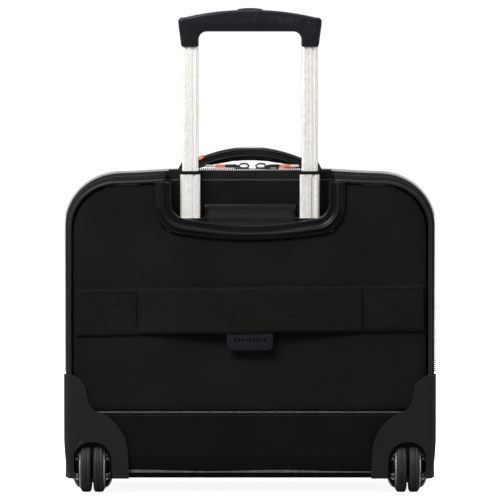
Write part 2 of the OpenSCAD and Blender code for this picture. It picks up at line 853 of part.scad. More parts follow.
// Coil spring round the middle of the yoke's guide
module button_spring() {
    turns = 4;
    per_turn = 14;
    sides = 8;
    r = 3.2;
    wire = 0.35;
    low = yoke_z - button_travel - 0.6;
    rise = button_travel;
    n = turns * per_turn;
    points = [for (i = [0:n]) for (j = [0:sides - 1])
        let (a = 360 * i / per_turn, b = 360 * j / sides, q = r + wire * cos(b))
        [q * cos(a), q * sin(a), low + rise * i / n + wire * sin(b)]];
    walls = [for (i = [0:n - 1]) for (j = [0:sides - 1])
        let (k = (j + 1) % sides)
        [i * sides + j, i * sides + k, (i + 1) * sides + k, (i + 1) * sides + j]];
    caps = [[for (j = [sides - 1:-1:0]) j], [for (j = [0:sides - 1]) n * sides + j]];
    color([0.7, 0.7, 0.72]) place() translate([0, tube_y, 0])
        polyhedron(points = points, faces = concat(walls, caps));
}

// ---- Wheels ----

// Half of the plain section of one disc, from the middle of the pair outwards
module tyre() {
    rotate_extrude() difference() {
        union() {
            translate([wheel_r - 8, 0]) square([5, tyre_w]);
            translate([wheel_r - 5, 3]) square([5, tyre_w - 6]);
            translate([wheel_r - 3, 3]) circle(3);
            translate([wheel_r - 3, tyre_w - 3]) circle(3);
        }
        for (i = [1:3]) translate([wheel_r + 0.2, tyre_w * i / 4]) circle(0.7, $fn = 16);
    }
}

module hub() {
    face = disc_w;
    difference() {
        union() {
            cylinder(r = wheel_r - 8 - 0.05, h = tyre_w - 1);
            cylinder(r1 = wheel_r - 8.05, r2 = wheel_r - 9, h = face - 2);
            cylinder(r = 8, h = face);
        }
        translate([0, 0, -1]) cylinder(r = axle_r + axle_fit, h = face + 2);
        for (i = [0:5]) rotate([0, 0, 60 * i]) translate([15, 0, face - 4]) cylinder(r = 4.2, h = 10);
        translate([0, 0, -1]) difference() {
            cylinder(r = wheel_r - 10.5, h = 6);
            cylinder(r = axle_r + 3, h = 20, center = true);
        }
    }
}

// Puts a disc in its place: side -1 or 1, and outwards 1 (outer) or -1 (inner)
module at_wheel(side, out) {
    translate([side * wheel_track / 2, axle_y, axle_z])
        rotate([0, side * out * 90, 0]) translate([0, 0, disc_gap / 2]) children();
}

module tyre_left_outer() {
    color([0.1, 0.1, 0.1]) place() at_wheel(-1, 1) tyre();
}

module tyre_left_inner() {
    color([0.1, 0.1, 0.1]) place() at_wheel(-1, -1) tyre();
}

module tyre_right_inner() {
    color([0.1, 0.1, 0.1]) place() at_wheel(1, -1) tyre();
}

module tyre_right_outer() {
    color([0.1, 0.1, 0.1]) place() at_wheel(1, 1) tyre();
}

module hub_left_outer() {
    color([0.55, 0.54, 0.5]) place() at_wheel(-1, 1) hub();
}

module hub_left_inner() {
    color([0.55, 0.54, 0.5]) place() at_wheel(-1, -1) hub();
}

module hub_right_inner() {
    color([0.55, 0.54, 0.5]) place() at_wheel(1, -1) hub();
}

module hub_right_outer() {
    color([0.55, 0.54, 0.5]) place() at_wheel(1, 1) hub();
}

module axles() {
    color([0.6, 0.6, 0.62]) place() for (s = mirror_sides())
        translate([s * wheel_track / 2, axle_y, axle_z]) rotate([0, s * 90, 0])
            translate([0, 0, -well_half - well_t]) cylinder(r = axle_r, h = 2 * well_half + 2 * well_t);
}

module front_feet() {
    color([0.1, 0.1, 0.1]) place() for (s = mirror_sides())
        translate([s * (half_w - foot_inset), case_d - 28, 0]) difference() {
            union() {
                translate([0, 0, 2]) cylinder(r = 14, h = case_bottom - 2);
                cylinder(r1 = 12, r2 = 14, h = 2);
            }
            translate([0, 0, -1]) cylinder(r = 4, h = 6);
            cylinder(r = 1.8, h = 60);
        }
}

// Screws: the tray's, the tube foot's and the feet's
module screws() {
    low = tube_foot_z - 12;
    color([0.7, 0.7, 0.7]) place() {
        for (s = mirror_sides()) for (x = [-1, 1])
            translate([s * tube_gap / 2 + x * (fixed_w / 2 + 2.4), tray_d - 4, low + 2]) {
                cylinder(r = 1.25, h = 10.05);
                translate([0, 0, 10.05]) cylinder(r = 2.2, h = 1.2);
            }
        for (x = [-1, 1]) translate([x * (tube_gap - fixed_w - 24) / 2, tube_y, fixed_bottom_z + 0.2]) {
            cylinder(r = 1.5, h = 3.85);
            translate([0, 0, 3.85]) cylinder(r = 2.8, h = 1.6);
        }
        for (s = mirror_sides()) translate([s * (half_w - foot_inset), case_d - 28, 1]) {
            translate([0, 0, 2.4]) cylinder(r = 3.2, h = 1.5);
            cylinder(r = 1.7, h = 14);
        }
    }
}

// ---- Inside ----

cover_t = 2;
cover_y = tube_y + fixed_d / 2 + 2 + gap;
divider_y = cover_y + cover_t + laptop_room;

module tube_cover() {
    y = cover_y;
    color([0.3, 0.3, 0.32]) place() difference() {
        translate([-inner_half + 4, y, base_top + seam])
            cube([2 * (inner_half - 4), cover_t, tube_foot_z - 14.4 - base_top]);
        well_room();
    }
}

module laptop_divider() {
    y = divider_y;
    half = inner_half - 4;
    color([0.3, 0.3, 0.32]) place() difference() {
        slab(y, y + divider_t) arch_2d(half, base_top + seam, base_top + divider_h, 18, 2);
        well_room();
    }
}

module laptop_strap() {
    back = cover_y + cover_t + touch;
    z = base_top + divider_h + 3;
    color([0.2, 0.2, 0.2]) place() {
        translate([-20, back, z]) cube([40, divider_y + divider_t + 2 - back, 1.8]);
        translate([-20, divider_y + divider_t + 0.1, z - 46]) cube([40, 1.9, 46.1]);
        translate([-20, back, z - 30]) cube([40, 1.6, 30.1]);
    }
}

// ---- Carry handle ----

carry_z = case_top + 7.2;
carry_end = 10;
carry_wide = carry_half - 52;

// Arch of the carry handle in the back view
module carry_2d() {
    top = case_top + carry_gap + carry_t;
    end_top = carry_z + 5;
    rise = top - end_top;
    r_out = (pow(carry_half, 2) + pow(rise, 2)) / (2 * rise);
    low_rise = case_top + carry_gap - (carry_z - 4);
    reach = carry_half - carry_end;
    r_in = (pow(reach, 2) + pow(low_rise, 2)) / (2 * low_rise);
    difference() {
        intersection() {
            translate([-carry_half, carry_z - 4]) square([2 * carry_half, 80]);
            translate([0, top - r_out]) circle(r_out, $fn = 360);
        }
        translate([0, case_top + carry_gap - r_in]) circle(r_in, $fn = 360);
    }
}

// Plan of the carry handle: narrow at its ends, full width in the middle
module carry_plan_2d() {
    end = 4;
    polygon([
        [-carry_half, -end], [-carry_half + 12, -end],
        [-carry_wide, -carry_w / 2], [carry_wide, -carry_w / 2],
        [carry_half - 12, -end], [carry_half, -end], [carry_half, end], [carry_half - 12, end],
        [carry_wide, carry_w / 2], [-carry_wide, carry_w / 2], [-carry_half + 12, end], [-carry_half, end]
    ]);
}

module carry_handle() {
    color([0.12, 0.12, 0.12]) place() translate([0, carry_y, 0]) difference() {
        intersection() {
            slab(-30, 30) carry_2d();
            linear_extrude(900) carry_plan_2d();
        }
        for (s = mirror_sides()) translate([s * (carry_half - 8), 0, carry_z]) rotate([0, s * 90, 0])
            cylinder(r = carry_pin_r + 0.06, h = 30);
    }
}

module handle_anchors() {
    color([0.1, 0.1, 0.1]) place() for (s = mirror_sides()) mirror([s < 0 ? 1 : 0, 0, 0])
        translate([0, carry_y, 0]) {
            translate([carry_half - 12, -9, case_top + 0.05]) cube([28, 18, 1]);
            translate([carry_half + 0.6, -5, case_top + 1]) cube([5, 10, 8.8]);
            translate([carry_half - 7, 0, carry_z]) rotate([0, 90, 0]) cylinder(r = carry_pin_r, h = 8);
        }
}

// ---- Zip sliders ----

slider_low = case_top + chain_h + 0.8;
slider_plate = 1.4;
eye_z = slider_low + slider_plate + 3;
pivot_z = slider_low + slider_plate + 2;
pivot_reach = 9.5;
pivot_r = 0.8;
arm_r = 1.7;

// Slider with the pivot of its pull at the end that faces s, and an upright padlock eye if it locks
module slider_body(x, y, s, locks) {
    translate([x, y, 0]) mirror([s < 0 ? 1 : 0, 0, 0]) {
        translate([-5, -4, slider_low]) cube([pivot_reach + 6.8, 8, slider_plate]);
        if (locks) translate([0, 0, eye_z]) rotate([90, 0, 0]) linear_extrude(1.6, center = true)
            difference() {
                arch_2d(7, -3.3, 3.3, 3, 1);
                arch_2d(5.4, -1.7, 1.9, 1.6, 1);
            }
        translate([pivot_reach - 1.2, -1.4, slider_low + 0.5]) cube([2.4, 2.8, pivot_z - slider_low + 0.6]);
        translate([pivot_reach, -3.6, pivot_z]) rotate([-90, 0, 0]) cylinder(r = pivot_r, h = 7.2);
    }
}

// Pull: two arms on the slider's pivot and a tab that lies outwards along the zip
module pull(x, y, s) {
    translate([x, y, 0]) mirror([s < 0 ? 1 : 0, 0, 0]) {
        for (q = [-1, 1]) translate([pivot_reach, q * 2.6, pivot_z]) rotate([90, 0, 0]) difference() {
            union() {
                cylinder(r = arm_r, h = 1.4, center = true);
                translate([0, -arm_r, -0.7]) cube([8, 2 * arm_r, 1.4]);
            }
            cylinder(r = pivot_r + axle_fit, h = 3, center = true);
        }
        translate([pivot_reach + 5, -4, pivot_z - arm_r]) cube([pull_len - 5, 8, 2.6]);
    }
}

module laptop_slider_left() {
    color([0.3, 0.3, 0.3]) place() slider_body(slider_x - slider_gap / 2, laptop_zip_y, -1, true);
}

module laptop_slider_right() {
    color([0.3, 0.3, 0.3]) place() slider_body(slider_x + slider_gap / 2, laptop_zip_y, 1, true);
}

module laptop_pull_left() {
    color([0.16, 0.16, 0.16]) place() pull(slider_x - slider_gap / 2, laptop_zip_y, -1);
}

module laptop_pull_right() {
    color([0.16, 0.16, 0.16]) place() pull(slider_x + slider_gap / 2, laptop_zip_y, 1);
}

module section_slider() {
    color([0.3, 0.3, 0.3]) place() slider_body(section_slider_x, part_y, 1, false);
}

module section_pull() {
    color([0.16, 0.16, 0.16]) place() pull(section_slider_x, part_y, 1);
}

back_board();
back_panel();
lower_panel();
back_piping();
rear_gusset();
laptop_zip();
main_gusset();
base_board();
kick_panel();
section_zip_rear();
trolley_band();
band_patches();
band_label();
handle_bezel();
handle_tray();
fixed_tube_left();
fixed_tube_right();
tube_foot();
screws();
guard_left();
guard_right();
axles();
front_feet();
laptop_divider();
laptop_strap();
tube_cover();
handle_anchors();
middle_tube_left();
middle_tube_right();
middle_collars();
inner_tube_left();
inner_tube_right();
grip_body();
grip_inserts();
tube_plugs();
release_button();
push_rods();
button_spring();
lock_pin_left();
lock_pin_right();
tyre_left_outer();
tyre_left_inner();
tyre_right_inner();
tyre_right_outer();
hub_left_outer();
hub_left_inner();
hub_right_inner();
hub_right_outer();
front_gusset();
front_panel();
front_pocket();
front_piping();
section_zip_front();
laptop_slider_left();
laptop_slider_right();
laptop_pull_left();
laptop_pull_right();
section_slider();
section_pull();
carry_handle();
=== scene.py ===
"""A rolling laptop case: fabric, plastic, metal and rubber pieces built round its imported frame."""

import math

import bmesh
import bpy
from bpy.props import FloatProperty, FloatVectorProperty, PointerProperty
from mathutils import Matrix, Vector, noise


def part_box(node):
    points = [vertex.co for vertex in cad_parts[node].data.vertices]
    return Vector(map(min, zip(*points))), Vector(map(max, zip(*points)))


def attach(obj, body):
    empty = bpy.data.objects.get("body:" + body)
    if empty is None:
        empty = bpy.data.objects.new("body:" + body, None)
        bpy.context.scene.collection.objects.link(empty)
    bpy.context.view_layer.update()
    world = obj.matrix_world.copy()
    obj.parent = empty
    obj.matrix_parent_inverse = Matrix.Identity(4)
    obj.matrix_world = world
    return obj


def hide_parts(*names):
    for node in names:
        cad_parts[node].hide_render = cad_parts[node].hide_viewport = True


bl_info = {
    "name": "Rolling Laptop Case",
    "version": (1, 0, 0),
    "blender": (4, 5, 0),
    "location": "View3D > Sidebar > Case",
    "description": "Builds the fabric, trim, handle and wheels of a rolling laptop case round its frame",
    "category": "Add Mesh",
}

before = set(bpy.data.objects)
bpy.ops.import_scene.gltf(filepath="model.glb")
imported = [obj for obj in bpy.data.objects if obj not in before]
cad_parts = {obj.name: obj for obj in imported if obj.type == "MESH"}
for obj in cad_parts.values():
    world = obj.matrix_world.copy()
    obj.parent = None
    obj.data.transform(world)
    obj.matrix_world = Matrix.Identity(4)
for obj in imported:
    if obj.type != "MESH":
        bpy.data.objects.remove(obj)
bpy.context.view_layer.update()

# ---- Sizes read from the frame, in metres ----

back_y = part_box("back_panel")[0].y
back_low, back_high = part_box("back_panel")
shell_low, shell_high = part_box("main_gusset")
front_low, front_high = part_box("front_panel")
case_half = shell_high.x
case_top = shell_high.z
case_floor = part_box("lower_panel")[0].z
panel_half = back_high.x
panel_top = back_high.z
corner_r = 0.062
panel_corner_r = corner_r - 0.007
cloth_t = 0.0014
ledge_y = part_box("grip_body")[1].y - back_y + 0.0032
sides = (-1, 1)
case_heart = Vector((0, 0, 0.2))
side_drop, top_drop, corner_drop = 0.005, 0.0105, 0.0078
looks = {}


class CaseSizes(bpy.types.PropertyGroup):
    """Sizes that shape the case's surfaces"""

    lumps: FloatProperty(
        name="Fabric lumps",
        description="How far the side fabric wanders from its smooth shape",
        default=0.0011,
        unit="LENGTH",
    )
    weave: FloatProperty(
        name="Weave pitch",
        description="Distance between the threads of the nylon",
        default=0.00125,
        unit="LENGTH",
    )
    stitch: FloatProperty(
        name="Stitch pitch",
        description="Distance from one stitch to the next",
        default=0.0032,
        unit="LENGTH",
    )
    tooth: FloatProperty(
        name="Zip pitch",
        description="Distance between the teeth of the zips",
        default=0.0022,
        unit="LENGTH",
    )
    bow: FloatProperty(
        name="Band bow",
        description="How far the loose middle of the trolley band stands off the back",
        default=0.0095,
        unit="LENGTH",
    )
    rib: FloatProperty(
        name="Bezel rib",
        description="Height of the raised rib round the handle's bezel",
        default=0.0022,
        unit="LENGTH",
    )
    distance: FloatProperty(
        name="Camera distance",
        description="Distance from the camera to the case's back",
        default=4.0,
        unit="LENGTH",
    )
    tilt: FloatProperty(
        name="Camera elevation",
        description="How far the camera looks down on the case",
        default=math.radians(1.0),
        unit="ROTATION",
    )


def colour(name, description, default):
    """A colour setting with its default as linear red, green and blue."""
    return FloatVectorProperty(
        name=name, description=description, default=default, subtype="COLOR", size=3, min=0.0, max=1.0
    )


class CaseColours(bpy.types.PropertyGroup):
    """Colours of the case's materials"""

    nylon: colour("Nylon", "Ballistic nylon of the back and front", (0.0096, 0.0096, 0.0104))
    side_nylon: colour("Side nylon", "Nylon of the side and top fabric", (0.0125, 0.0125, 0.0135))
    leather: colour("Leatherette", "Smooth coated fabric of the lower panels", (0.0040, 0.0038, 0.0043))
    piping: colour("Piping", "Cord covered in smooth coated fabric", (0.010, 0.010, 0.011))
    webbing: colour("Webbing", "Wide woven band", (0.0072, 0.0072, 0.0062))
    label: colour("Label", "Leather label on the band", (0.0066, 0.0072, 0.0105))
    # Sewing thread colour; on the lower panel's binding cord and stitches it also serves as a painted
    # highlight.
    thread: colour("Thread", "Sewing thread", (0.030, 0.030, 0.031))
    shell: colour("Guard plastic", "Plastic of the corner guards", (0.0098, 0.0090, 0.0102))
    bezel: colour("Bezel plastic", "Plastic of the handle housing", (0.0032, 0.0034, 0.0040))
    grip: colour("Grip plastic", "Plastic of the grip", (0.0050, 0.0056, 0.0078))
    insert: colour("Insert", "Light inserts on the grip's shoulders", (0.30, 0.31, 0.33))
    tube: colour("Tube", "Anodised aluminium of the tubes", (0.90, 0.88, 0.84))
    silver: colour("Hub silver", "Metallic paint on the hubs' spokes", (0.52, 0.50, 0.45))
    rubber: colour("Tyre rubber", "Rubber of the tyres and feet", (0.021, 0.0205, 0.022))
    accent: colour("Accent", "Orange of the pulls and the carry handle's tab", (0.62, 0.115, 0.035))
    lining: colour("Lining", "Woven lining inside the case", (0.060, 0.060, 0.064))


# ---- Shader helpers ----


def node(tree, kind, inputs=None, **settings):
    """Adds a shader node, sets its options and fills or links its inputs by name or number."""
    made = tree.nodes.new(kind)
    for key, value in settings.items():
        setattr(made, key, value)
    for key, value in (inputs or {}).items():
        if isinstance(value, bpy.types.NodeSocket):
            tree.links.new(value, made.inputs[key])
        else:
            made.inputs[key].default_value = value
    return made


def maths(tree, operation, first, second=0.0, clamp=False):
    """The result socket of a Math node."""
    made = node(tree, "ShaderNodeMath", {0: first, 1: second}, operation=operation, use_clamp=clamp)
    return made.outputs[0]


def weighted(tree, first, first_share, second, second_share):
    """The sum of two values, each times its share."""
    parts = maths(tree, "MULTIPLY", first, first_share), maths(tree, "MULTIPLY", second, second_share)
    return maths(tree, "ADD", *parts)


def blended(tree, factor, first, second):
    """The result socket of a colour Mix node."""
    return node(tree, "ShaderNodeMix", {"Factor": factor, 6: first, 7: second}, data_type="RGBA").outputs[2]


def ramp(tree, value, low, high, out_low=0.0, out_high=1.0):
    """The result socket of a clamped Map Range node."""
    inputs = {"Value": value, "From Min": low, "From Max": high, "To Min": out_low, "To Max": out_high}
    return node(tree, "ShaderNodeMapRange", inputs).outputs["Result"]


def new_group(name, inputs, outputs):
    """An empty node group with its sockets, plus its input and output nodes."""
    tree = bpy.data.node_groups.new(name, "ShaderNodeTree")
    for label, kind in inputs:
        tree.interface.new_socket(label, in_out="INPUT", socket_type=kind)
    for label in outputs:
        tree.interface.new_socket(label, in_out="OUTPUT", socket_type="NodeSocketFloat")
    source = tree.nodes.new("NodeGroupInput").outputs
    return tree, source, tree.nodes.new("NodeGroupOutput").inputs


def weave_group():
    """Threads over and under each other: a height, and a tone that differs from thread to thread."""
    inputs = [("Vector", "NodeSocketVector"), ("Pitch", "NodeSocketFloat"), ("Repeat", "NodeSocketFloat")]
    tree, source, result = new_group("Weave", inputs, ["Height", "Tone"])
    axes = node(tree, "ShaderNodeSeparateXYZ", {0: source["Vector"]}).outputs
    across = maths(tree, "DIVIDE", axes["X"], source["Pitch"])
    along = maths(tree, "DIVIDE", axes["Y"], source["Pitch"])
    column = maths(tree, "FLOOR", across)
    row = maths(tree, "FLOOR", along)
    turn = maths(tree, "FLOORED_MODULO", maths(tree, "ADD", column, row), source["Repeat"])
    over = maths(tree, "GREATER_THAN", turn, maths(tree, "SUBTRACT", source["Repeat"], 1.5))
    round_across = maths(tree, "SINE", maths(tree, "MULTIPLY", maths(tree, "FRACT", across), math.pi))
    round_along = maths(tree, "SINE", maths(tree, "MULTIPLY", maths(tree, "FRACT", along), math.pi))
    mixed = node(tree, "ShaderNodeMix", {"Factor": over, 2: round_across, 3: round_along}).outputs[0]
    both = maths(tree, "MULTIPLY", round_across, round_along)
    tree.links.new(maths(tree, "ADD", mixed, both), result["Height"])
    cell = node(tree, "ShaderNodeCombineXYZ", {"X": column, "Y": row}).outputs[0]
    grey = node(tree, "ShaderNodeTexWhiteNoise", {"Vector": cell}, noise_dimensions="2D").outputs["Value"]
    tree.links.new(ramp(tree, maths(tree, "ADD", over, grey), 0.0, 2.0), result["Tone"])
    return tree


def webbing_group():
    """Fine ribs along a woven band, broken by the threads that cross them."""
    inputs = [("Vector", "NodeSocketVector"), ("Pitch", "NodeSocketFloat")]
    tree, source, result = new_group("Webbing", inputs, ["Height", "Tone"])
    axes = node(tree, "ShaderNodeSeparateXYZ", {0: source["Vector"]}).outputs
    rib = maths(tree, "DIVIDE", axes["Y"], source["Pitch"])
    cross = maths(tree, "DIVIDE", axes["X"], maths(tree, "MULTIPLY", source["Pitch"], 1.6))
    shifted = maths(tree, "ADD", cross, maths(tree, "MULTIPLY", maths(tree, "FLOOR", rib), 0.5))
    ridge = maths(tree, "ABSOLUTE", maths(tree, "SINE", maths(tree, "MULTIPLY", rib, math.pi)))
    knot = maths(tree, "ABSOLUTE", maths(tree, "SINE", maths(tree, "MULTIPLY", shifted, math.pi)))
    tree.links.new(maths(tree, "ADD", ridge, maths(tree, "MULTIPLY", knot, 0.5)), result["Height"])
    cell = node(
        tree,
        "ShaderNodeCombineXYZ",
        {"X": maths(tree, "FLOOR", shifted), "Y": maths(tree, "FLOOR", rib)},
    ).outputs[0]
    grey = node(tree, "ShaderNodeTexWhiteNoise", {"Vector": cell}, noise_dimensions="2D").outputs["Value"]
    tree.links.new(grey, result["Tone"])
    return tree


def grain_group():
    """Moulded or pressed surface: fine pebbles, and slow patches that shift tone and gloss."""
    inputs = [("Vector", "NodeSocketVector"), ("Scale", "NodeSocketFloat")]
    tree, source, result = new_group("Grain", inputs, ["Height", "Patch"])
    cells = node(
        tree,
        "ShaderNodeTexVoronoi",
        {"Vector": source["Vector"], "Scale": source["Scale"]},
        feature="SMOOTH_F1",
    ).outputs["Distance"]
    fine = node(
        tree,
        "ShaderNodeTexNoise",
        {"Vector": source["Vector"], "Scale": maths(tree, "MULTIPLY", source["Scale"], 1.7), "Detail": 2.0},
    ).outputs["Fac"]
    tree.links.new(maths(tree, "ADD", cells, maths(tree, "MULTIPLY", fine, 0.6)), result["Height"])
    broad = {"Vector": source["Vector"], "Scale": 14.0, "Detail": 3.0}
    slow = node(tree, "ShaderNodeTexNoise", broad).outputs["Fac"]
    tree.links.new(ramp(tree, slow, 0.32, 0.68), result["Patch"])
    return tree


def streak_group():
    """Fine lines drawn along Z, as on extruded or brushed metal."""
    inputs = [("Vector", "NodeSocketVector")]
    tree, source, result = new_group("Streaks", inputs, ["Height", "Patch"])
    stretched = node(
        tree, "ShaderNodeMapping", {"Vector": source["Vector"], "Scale": (1800.0, 1800.0, 1.2)}
    ).outputs[0]
    drawn = {"Vector": stretched, "Scale": 1.0, "Detail": 2.0}
    lines = node(tree, "ShaderNodeTexNoise", drawn).outputs["Fac"]
    slow = node(tree, "ShaderNodeTexNoise", {"Vector": source["Vector"], "Scale": 22.0}).outputs["Fac"]
    tree.links.new(lines, result["Height"])
    tree.links.new(ramp(tree, slow, 0.3, 0.7), result["Patch"])
    return tree


def wear_group():
    """Where a surface has rubbed: its sharper edges, broken up by noise, and a little dust on top."""
    inputs = [("Vector", "NodeSocketVector")]
    tree, source, result = new_group("Wear", inputs, ["Edge", "Dust"])
    shape = tree.nodes.new("ShaderNodeNewGeometry").outputs
    sharp = ramp(tree, shape["Pointiness"], 0.515, 0.60)
    broken = node(tree, "ShaderNodeTexNoise", {"Vector": source["Vector"], "Scale": 240.0, "Detail": 4.0})
    rubbed = maths(tree, "MULTIPLY", sharp, ramp(tree, broken.outputs["Fac"], 0.42, 0.62))
    tree.links.new(rubbed, result["Edge"])
    up = node(tree, "ShaderNodeSeparateXYZ", {0: shape["Normal"]}).outputs["Z"]
    specks = node(tree, "ShaderNodeTexNoise", {"Vector": source["Vector"], "Scale": 900.0, "Detail": 1.0})
    lying = maths(tree, "MULTIPLY", ramp(tree, up, 0.25, 0.95), ramp(tree, specks.outputs["Fac"], 0.56, 0.74))
    tree.links.new(lying, result["Dust"])
    return tree


group_makers = {
    "Weave": weave_group,
    "Webbing": webbing_group,
    "Grain": grain_group,
    "Streaks": streak_group,
    "Wear": wear_group,
}


def effect(tree, name, inputs):
    """The outputs of a shared effect, whose node group is built the first time that it is used."""
    group = bpy.data.node_groups.get(name) or group_makers[name]()
    made = node(tree, "ShaderNodeGroup", node_tree=group)
    for key, value in inputs.items():
        if isinstance(value, bpy.types.NodeSocket):
            tree.links.new(value, made.inputs[key])
        else:
            made.inputs[key].default_value = value
    return made.outputs


def blank(name, roughness, **constants):
    """A material with its Principled shader and constants set, its tree and its object coordinates."""
    material = bpy.data.materials.new(name)
    material.use_nodes = True
    tree = material.node_tree
    shader = tree.nodes["Principled BSDF"]
    shader.inputs["Roughness"].default_value = roughness
    for key, value in constants.items():
        shader.inputs[key.replace("_", " ")].default_value = value
    place = tree.nodes.new("ShaderNodeTexCoord").outputs
    return material, tree, shader, place


def tint(tree, shader, base, factor, darker, lighter):
    """Base colour that runs from a darker to a lighter shade of itself as the factor goes from 0 to 1."""
    shade = [tuple(channel * share for channel in base) + (1.0,) for share in (darker, lighter)]
    mixed = blended(tree, factor, *shade)
    tree.links.new(mixed, shader.inputs["Base Color"])
    return mixed


def raise_bumps(tree, shader, height, distance, strength=1.0):
    """Bumps of the given height in metres on the shader's normal."""
    made = node(tree, "ShaderNodeBump", {"Height": height, "Distance": distance, "Strength": strength})
    tree.links.new(made.outputs["Normal"], shader.inputs["Normal"])


def fabric(name, base, pitch, repeat=2.0, roughness=0.85, turn=0.0, bump=0.00025, sheen=0.0, specular=0.04):
    """Woven cloth on the piece's own cut, with threads and slow tone changes."""
    constants = {"Specular_IOR_Level": specular, "Sheen_Weight": sheen, "Sheen_Roughness": 0.35}
    material, tree, shader, place = blank(name, roughness, **constants)
    cut = node(tree, "ShaderNodeUVMap", uv_map="Cut").outputs[0]
    turned = node(tree, "ShaderNodeMapping", {"Vector": cut, "Rotation": (0.0, 0.0, turn)}).outputs[0]
    threads = effect(tree, "Weave", {"Vector": turned, "Pitch": pitch, "Repeat": repeat})
    patches = effect(tree, "Grain", {"Vector": place["Object"], "Scale": 60.0})
    tone = weighted(tree, threads["Tone"], 0.6, patches["Patch"], 0.4)
    tint(tree, shader, base, tone, 0.62, 1.34)
    gloss = ramp(tree, threads["Height"], 0.0, 1.8, roughness + 0.1, roughness - 0.12)
    tree.links.new(gloss, shader.inputs["Roughness"])
    raise_bumps(tree, shader, threads["Height"], bump)
    return material


def strap_cloth(name, base, pitch=0.0017, roughness=0.72):
    """Ribbed webbing on the piece's own cut."""
    constants = {"Specular_IOR_Level": 0.05, "Sheen_Weight": 0.0, "Sheen_Roughness": 0.4}
    material, tree, shader, place = blank(name, roughness, **constants)
    cut = node(tree, "ShaderNodeUVMap", uv_map="Cut").outputs[0]
    ribs = effect(tree, "Webbing", {"Vector": cut, "Pitch": pitch})
    patches = effect(tree, "Grain", {"Vector": place["Object"], "Scale": 60.0})
    tone = weighted(tree, ribs["Tone"], 0.5, patches["Patch"], 0.5)
    tint(tree, shader, base, tone, 0.68, 1.3)
    gloss = ramp(tree, ribs["Height"], 0.0, 1.4, roughness + 0.12, roughness - 0.1)
    tree.links.new(gloss, shader.inputs["Roughness"])
    raise_bumps(tree, shader, ribs["Height"], 0.0003)
    return material


def pressed(name, base, roughness, scale, bump, specular=0.5, edge=1.6, coat=0.0):
    """Moulded plastic, rubber or coated fabric: pebbled grain, gloss that wanders, rubbed edges and dust."""
    constants = {"Specular_IOR_Level": specular, "Coat_Weight": coat, "Coat_Roughness": 0.25}
    material, tree, shader, place = blank(name, roughness, **constants)
    grain = effect(tree, "Grain", {"Vector": place["Object"], "Scale": scale})
    wear = effect(tree, "Wear", {"Vector": place["Object"]})
    tone = weighted(tree, grain["Patch"], 0.5, grain["Height"], 0.4)
    shade = tint(tree, shader, base, tone, 0.8, 1.2)
    rubbed = tuple(channel * edge + 0.002 for channel in base) + (1.0,)
    worn = blended(tree, wear["Edge"], shade, rubbed)
    dust_colour = (0.16, 0.15, 0.14, 1.0)
    dusty = blended(tree, maths(tree, "MULTIPLY", wear["Dust"], 0.10), worn, dust_colour)
    tree.links.new(dusty, shader.inputs["Base Color"])
    gloss = ramp(tree, grain["Patch"], 0.0, 1.0, roughness - 0.05, roughness + 0.06)
    duller = maths(tree, "MULTIPLY", wear["Dust"], 0.2)
    tree.links.new(maths(tree, "ADD", gloss, duller, clamp=True), shader.inputs["Roughness"])
    raise_bumps(tree, shader, grain["Height"], bump)
    return material


def metal(name, base, roughness, bump=0.000002, metallic=1.0):
    """Drawn or cast metal with fine lines along Z and gloss that wanders."""
    material, tree, shader, place = blank(name, roughness, Metallic=metallic)
    lines = effect(tree, "Streaks", {"Vector": place["Object"]})
    wear = effect(tree, "Wear", {"Vector": place["Object"]})
    shade = tint(tree, shader, base, lines["Height"], 0.98, 1.02)
    bright = tuple(min(1.0, channel * 1.15) for channel in base) + (1.0,)
    worn = blended(tree, wear["Edge"], shade, bright)
    tree.links.new(worn, shader.inputs["Base Color"])
    gloss = ramp(tree, lines["Patch"], 0.0, 1.0, roughness - 0.04, roughness + 0.06)
    tree.links.new(gloss, shader.inputs["Roughness"])
    raise_bumps(tree, shader, lines["Height"], bump)
    return material


